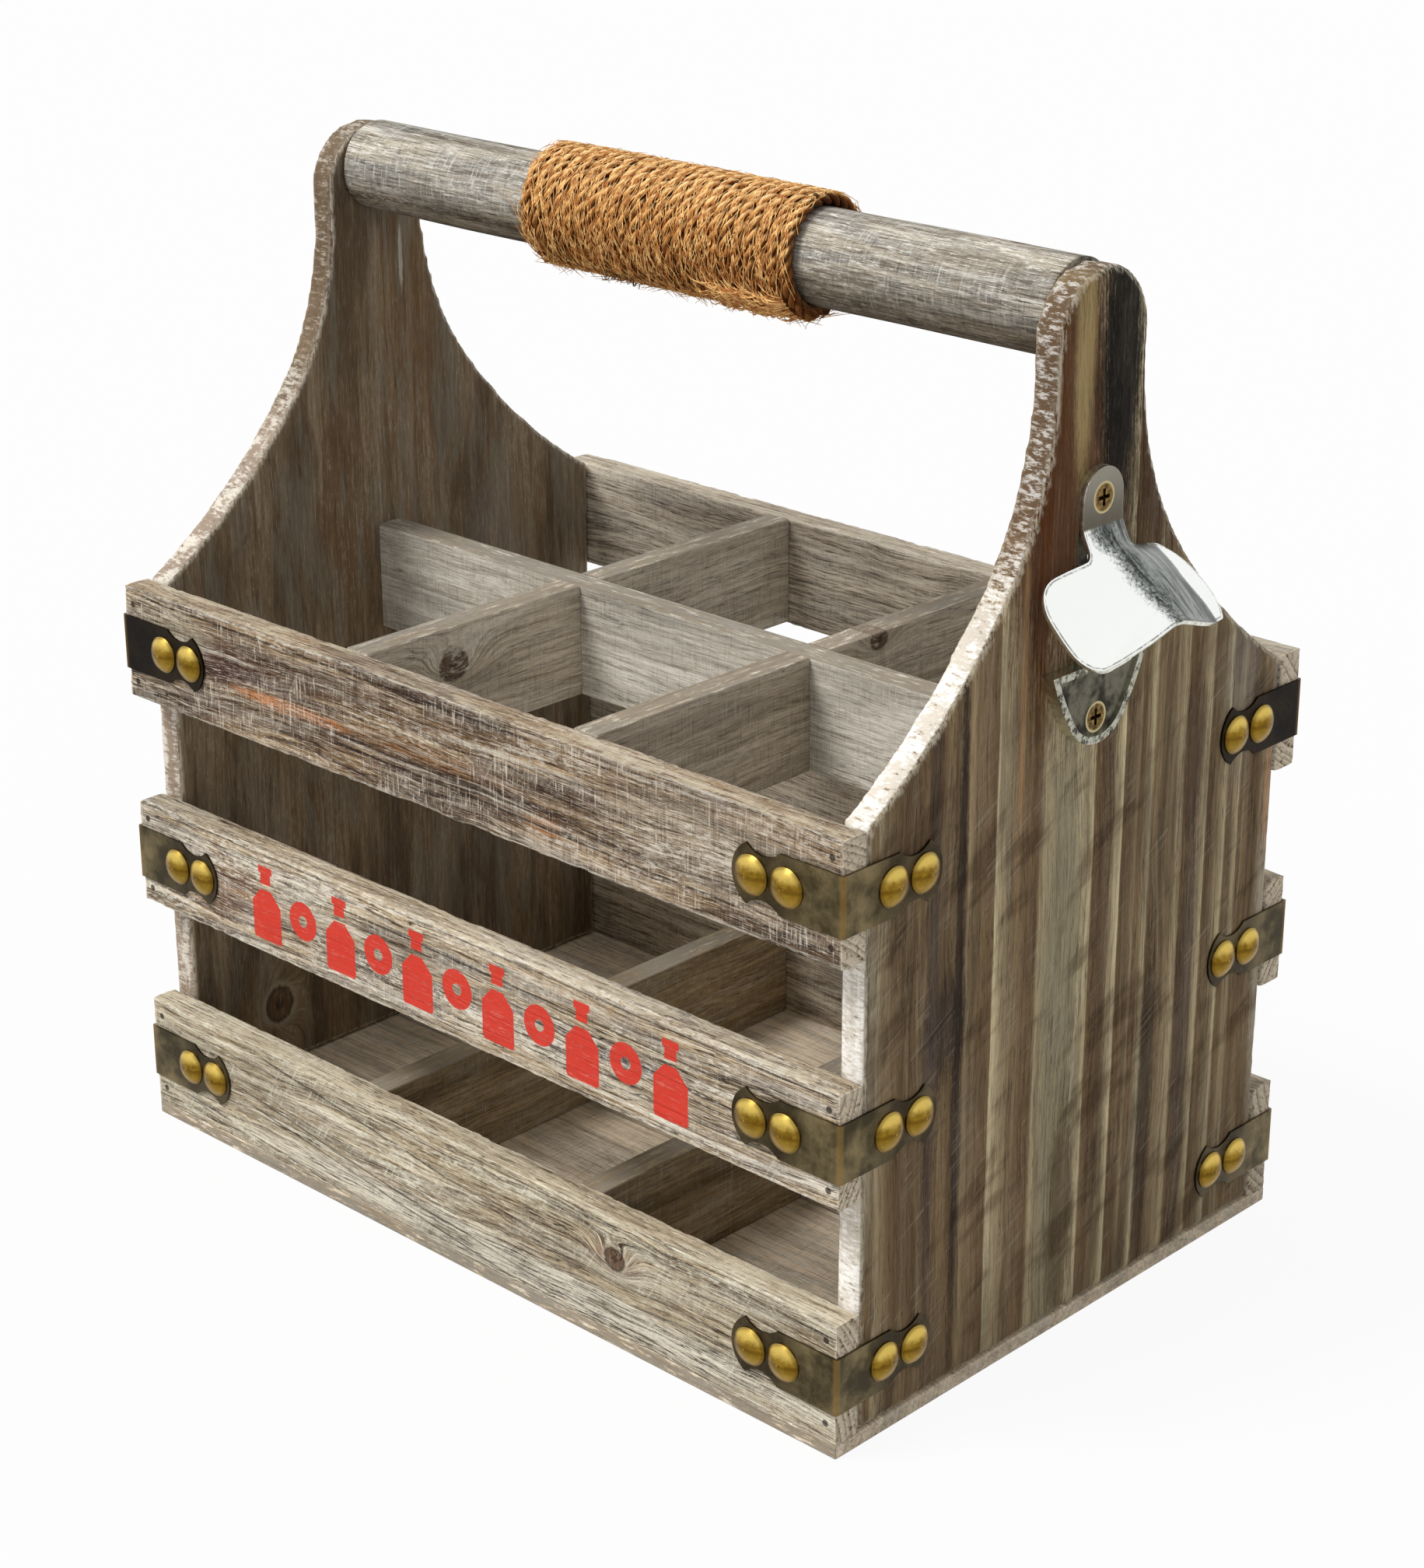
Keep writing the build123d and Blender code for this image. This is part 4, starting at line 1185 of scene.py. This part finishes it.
bmesh.ops.bevel(
    sheet, geom=necks, offset=neck_round, affect="VERTICES", segments=4, profile=0.5, material=-1,
)
for across, cuts in ((Vector((0, 1, 0)), range(-41, 42)), (Vector((0, 0, 1)), range(10, -58, -1))):
    for cut in cuts:
        bmesh.ops.bisect_plane(
            sheet, geom=sheet.verts[:] + sheet.edges[:] + sheet.faces[:],
            plane_co=across * (cut * sheet_cell), plane_no=across,
        )
head_radius = (upper_high.y - upper_low.y) / 2
under_head = [face for face in sheet.faces if face.calc_center_median().length < head_radius]
bmesh.ops.delete(sheet, geom=under_head, context="FACES")
outline_places = []
for vertex in sheet.verts:
    if vertex.is_boundary and vertex.co.length < head_radius * 1.25:
        vertex.co *= head_radius / vertex.co.length
    elif vertex.is_boundary:
        outline_places.append(vertex.co.copy())
outline_tree = search_tree(outline_places)
sheet_edge = sheet.verts.layers.float.new("sheet_edge")
for vertex in sheet.verts:
    vertex[sheet_edge] = max(0.0, 1 - outline_tree.find(vertex.co)[2] / 0.002)
for vertex in sheet.verts:
    vertex.co = formed(vertex.co)
bmesh.ops.recalc_face_normals(sheet, faces=sheet.faces)
if sum(face.normal.x for face in sheet.faces) < 0:
    bmesh.ops.reverse_faces(sheet, faces=sheet.faces)
hood_mesh = smooth_faces(mesh_of(sheet, "opener_hood_sheet"))
hood = add_piece("pressed_hood", hood_mesh, "zinc_steel", "opener_hood")
walls = hood.modifiers.new("walls", "SOLIDIFY")
walls.thickness = hood_sheet
walls.offset = -1
walls.material_offset_rim = 1
rounding = hood.modifiers.new("rounding", "BEVEL")
rounding.width = 0.00028
rounding.segments = 2
rounding.limit_method = "ANGLE"
rounding.angle_limit = math.radians(50)
rounding.material = -1

hood_zinc, hood_zinc_shader, hood_zinc_place = new_finish("zinc_with_painted_reflections", 0.24, 1.0)
hood_x, hood_y, hood_z = hood_zinc_place.parts()
hood_y = hood_y - hood_centre_y * 1000
speckle = hood_zinc_place.cloud((1.1, 1.1, 1.1), 5, 0.75, 3)
streaks = hood_zinc_place.cloud((0.12, 0.75, 0.12), 4, 0.65, 6)
brushed = streaks.step(0.34, 0.62).blend((72, 76, 72), (150, 154, 150))
grime = (hood_y + (speckle - 0.5) * 5).step(6.0, 1.0)
brushed = (speckle.step(0.44, 0.62) * (grime * 0.6 + 0.25)).blend(brushed, (30, 34, 32))
# Painted reflections: the wings are painted near-white, and a dark band of painted shade lies along the
# crest beside the right wing.
reach = hood_x - panel_face * 1000
wing_start = reach.step(3.0, 7.5) * 3.5 - 5.0
left_wing = (hood_y - wing_start + (speckle - 0.5) * 7).step(1.6, -2.0)
band_end = 21.0 - reach.smaller(14.0) * 0.34 + reach.step(15.0, 22.0) * 2.0
right_wing = (hood_y - band_end + (speckle - 0.5) * 1.2).step(-0.5, 0.6)
fold_shade = abs(hood_y - band_end + 2.0 + (streaks - 0.5) * 3).step(2.2, 0.4)
edge_line = abs(hood_y.mark("sheet_edge") - 0.74).step(0.16, 0.04)
edge_line = edge_line * (speckle * 0.5 + streaks * 0.5).step(0.4, 0.56)
# The tab is painted lighter at its top and darker at its foot, as painted shading.
tab_foot = (hood_screw_level - fold_drop) * 1000
tab_tone = hood_z.step(tab_foot, (hood_screw_level + tab_half) * 1000)
tab_tone = (tab_tone * 0.7 + streaks * 0.3).blend((80, 74, 62), (146, 141, 128))
hood_tone = coats(
    brushed,
    (left_wing.larger(right_wing), (244, 246, 243)),
    (fold_shade * 0.6, (46, 50, 48)),
    (edge_line * 0.75, (84, 72, 62)),
    (hood_z.step(tab_foot - 0.5, tab_foot + 0.3), tab_tone),
)
hood_bump = (streaks * 0.5 + speckle * 0.5, 0.12, 0.03)
dress(hood_zinc_shader, hood_tone, streaks * 0.2 + 0.14, hood_bump)
put_on(hood, hood_zinc)

bright_edge, edge_shader, edge_place = new_finish("bright_zinc_edge", 0.3, 1.0)
edge_wear = edge_place.cloud((0.8, 0.8, 0.8), 3, 0.6, 2)
dress(edge_shader, edge_wear.step(0.35, 0.65).blend((196, 196, 182), (240, 240, 230)))
hood.data.materials.append(bright_edge)


# The opener's screws: countersunk cross-recess wood screws of yellow zinc-plated steel. One
# holds the hood and the plate to the panel, and one the foot of the plate.
yellow, yellow_shader, yellow_place = new_finish("yellow_zinc", 0.35, 0.95)
tarnish = yellow_place.cloud((0.8, 0.8, 0.8), 3, 0.6, 4)
lower_low, lower_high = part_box("opener_screw_lower")
lower_screw_level = (lower_low.z + lower_high.z) / 2
half_spacing = (hood_screw_level - lower_screw_level) * 500
_, head_y, head_z = yellow_place.parts()
head_z = abs(head_z - (hood_screw_level + lower_screw_level) * 500) - half_spacing
head_ring = away(head_y, head_z, (hood_centre_y * 1000, 0.0), (head_radius * 1000,) * 2)
# A bright ring is painted round the rim of each head, as a painted highlight.
yellow_tone = coats(
    tarnish.step(0.35, 0.65).blend((74, 54, 24), (142, 114, 60)),
    (head_ring.step(0.78, 0.94) * 0.8, (206, 192, 146)),
)
dress(yellow_shader, yellow_tone, tarnish * 0.3 + 0.2)
for node in ("opener_screw_upper", "opener_screw_lower"):
    put_on(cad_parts[node], yellow)
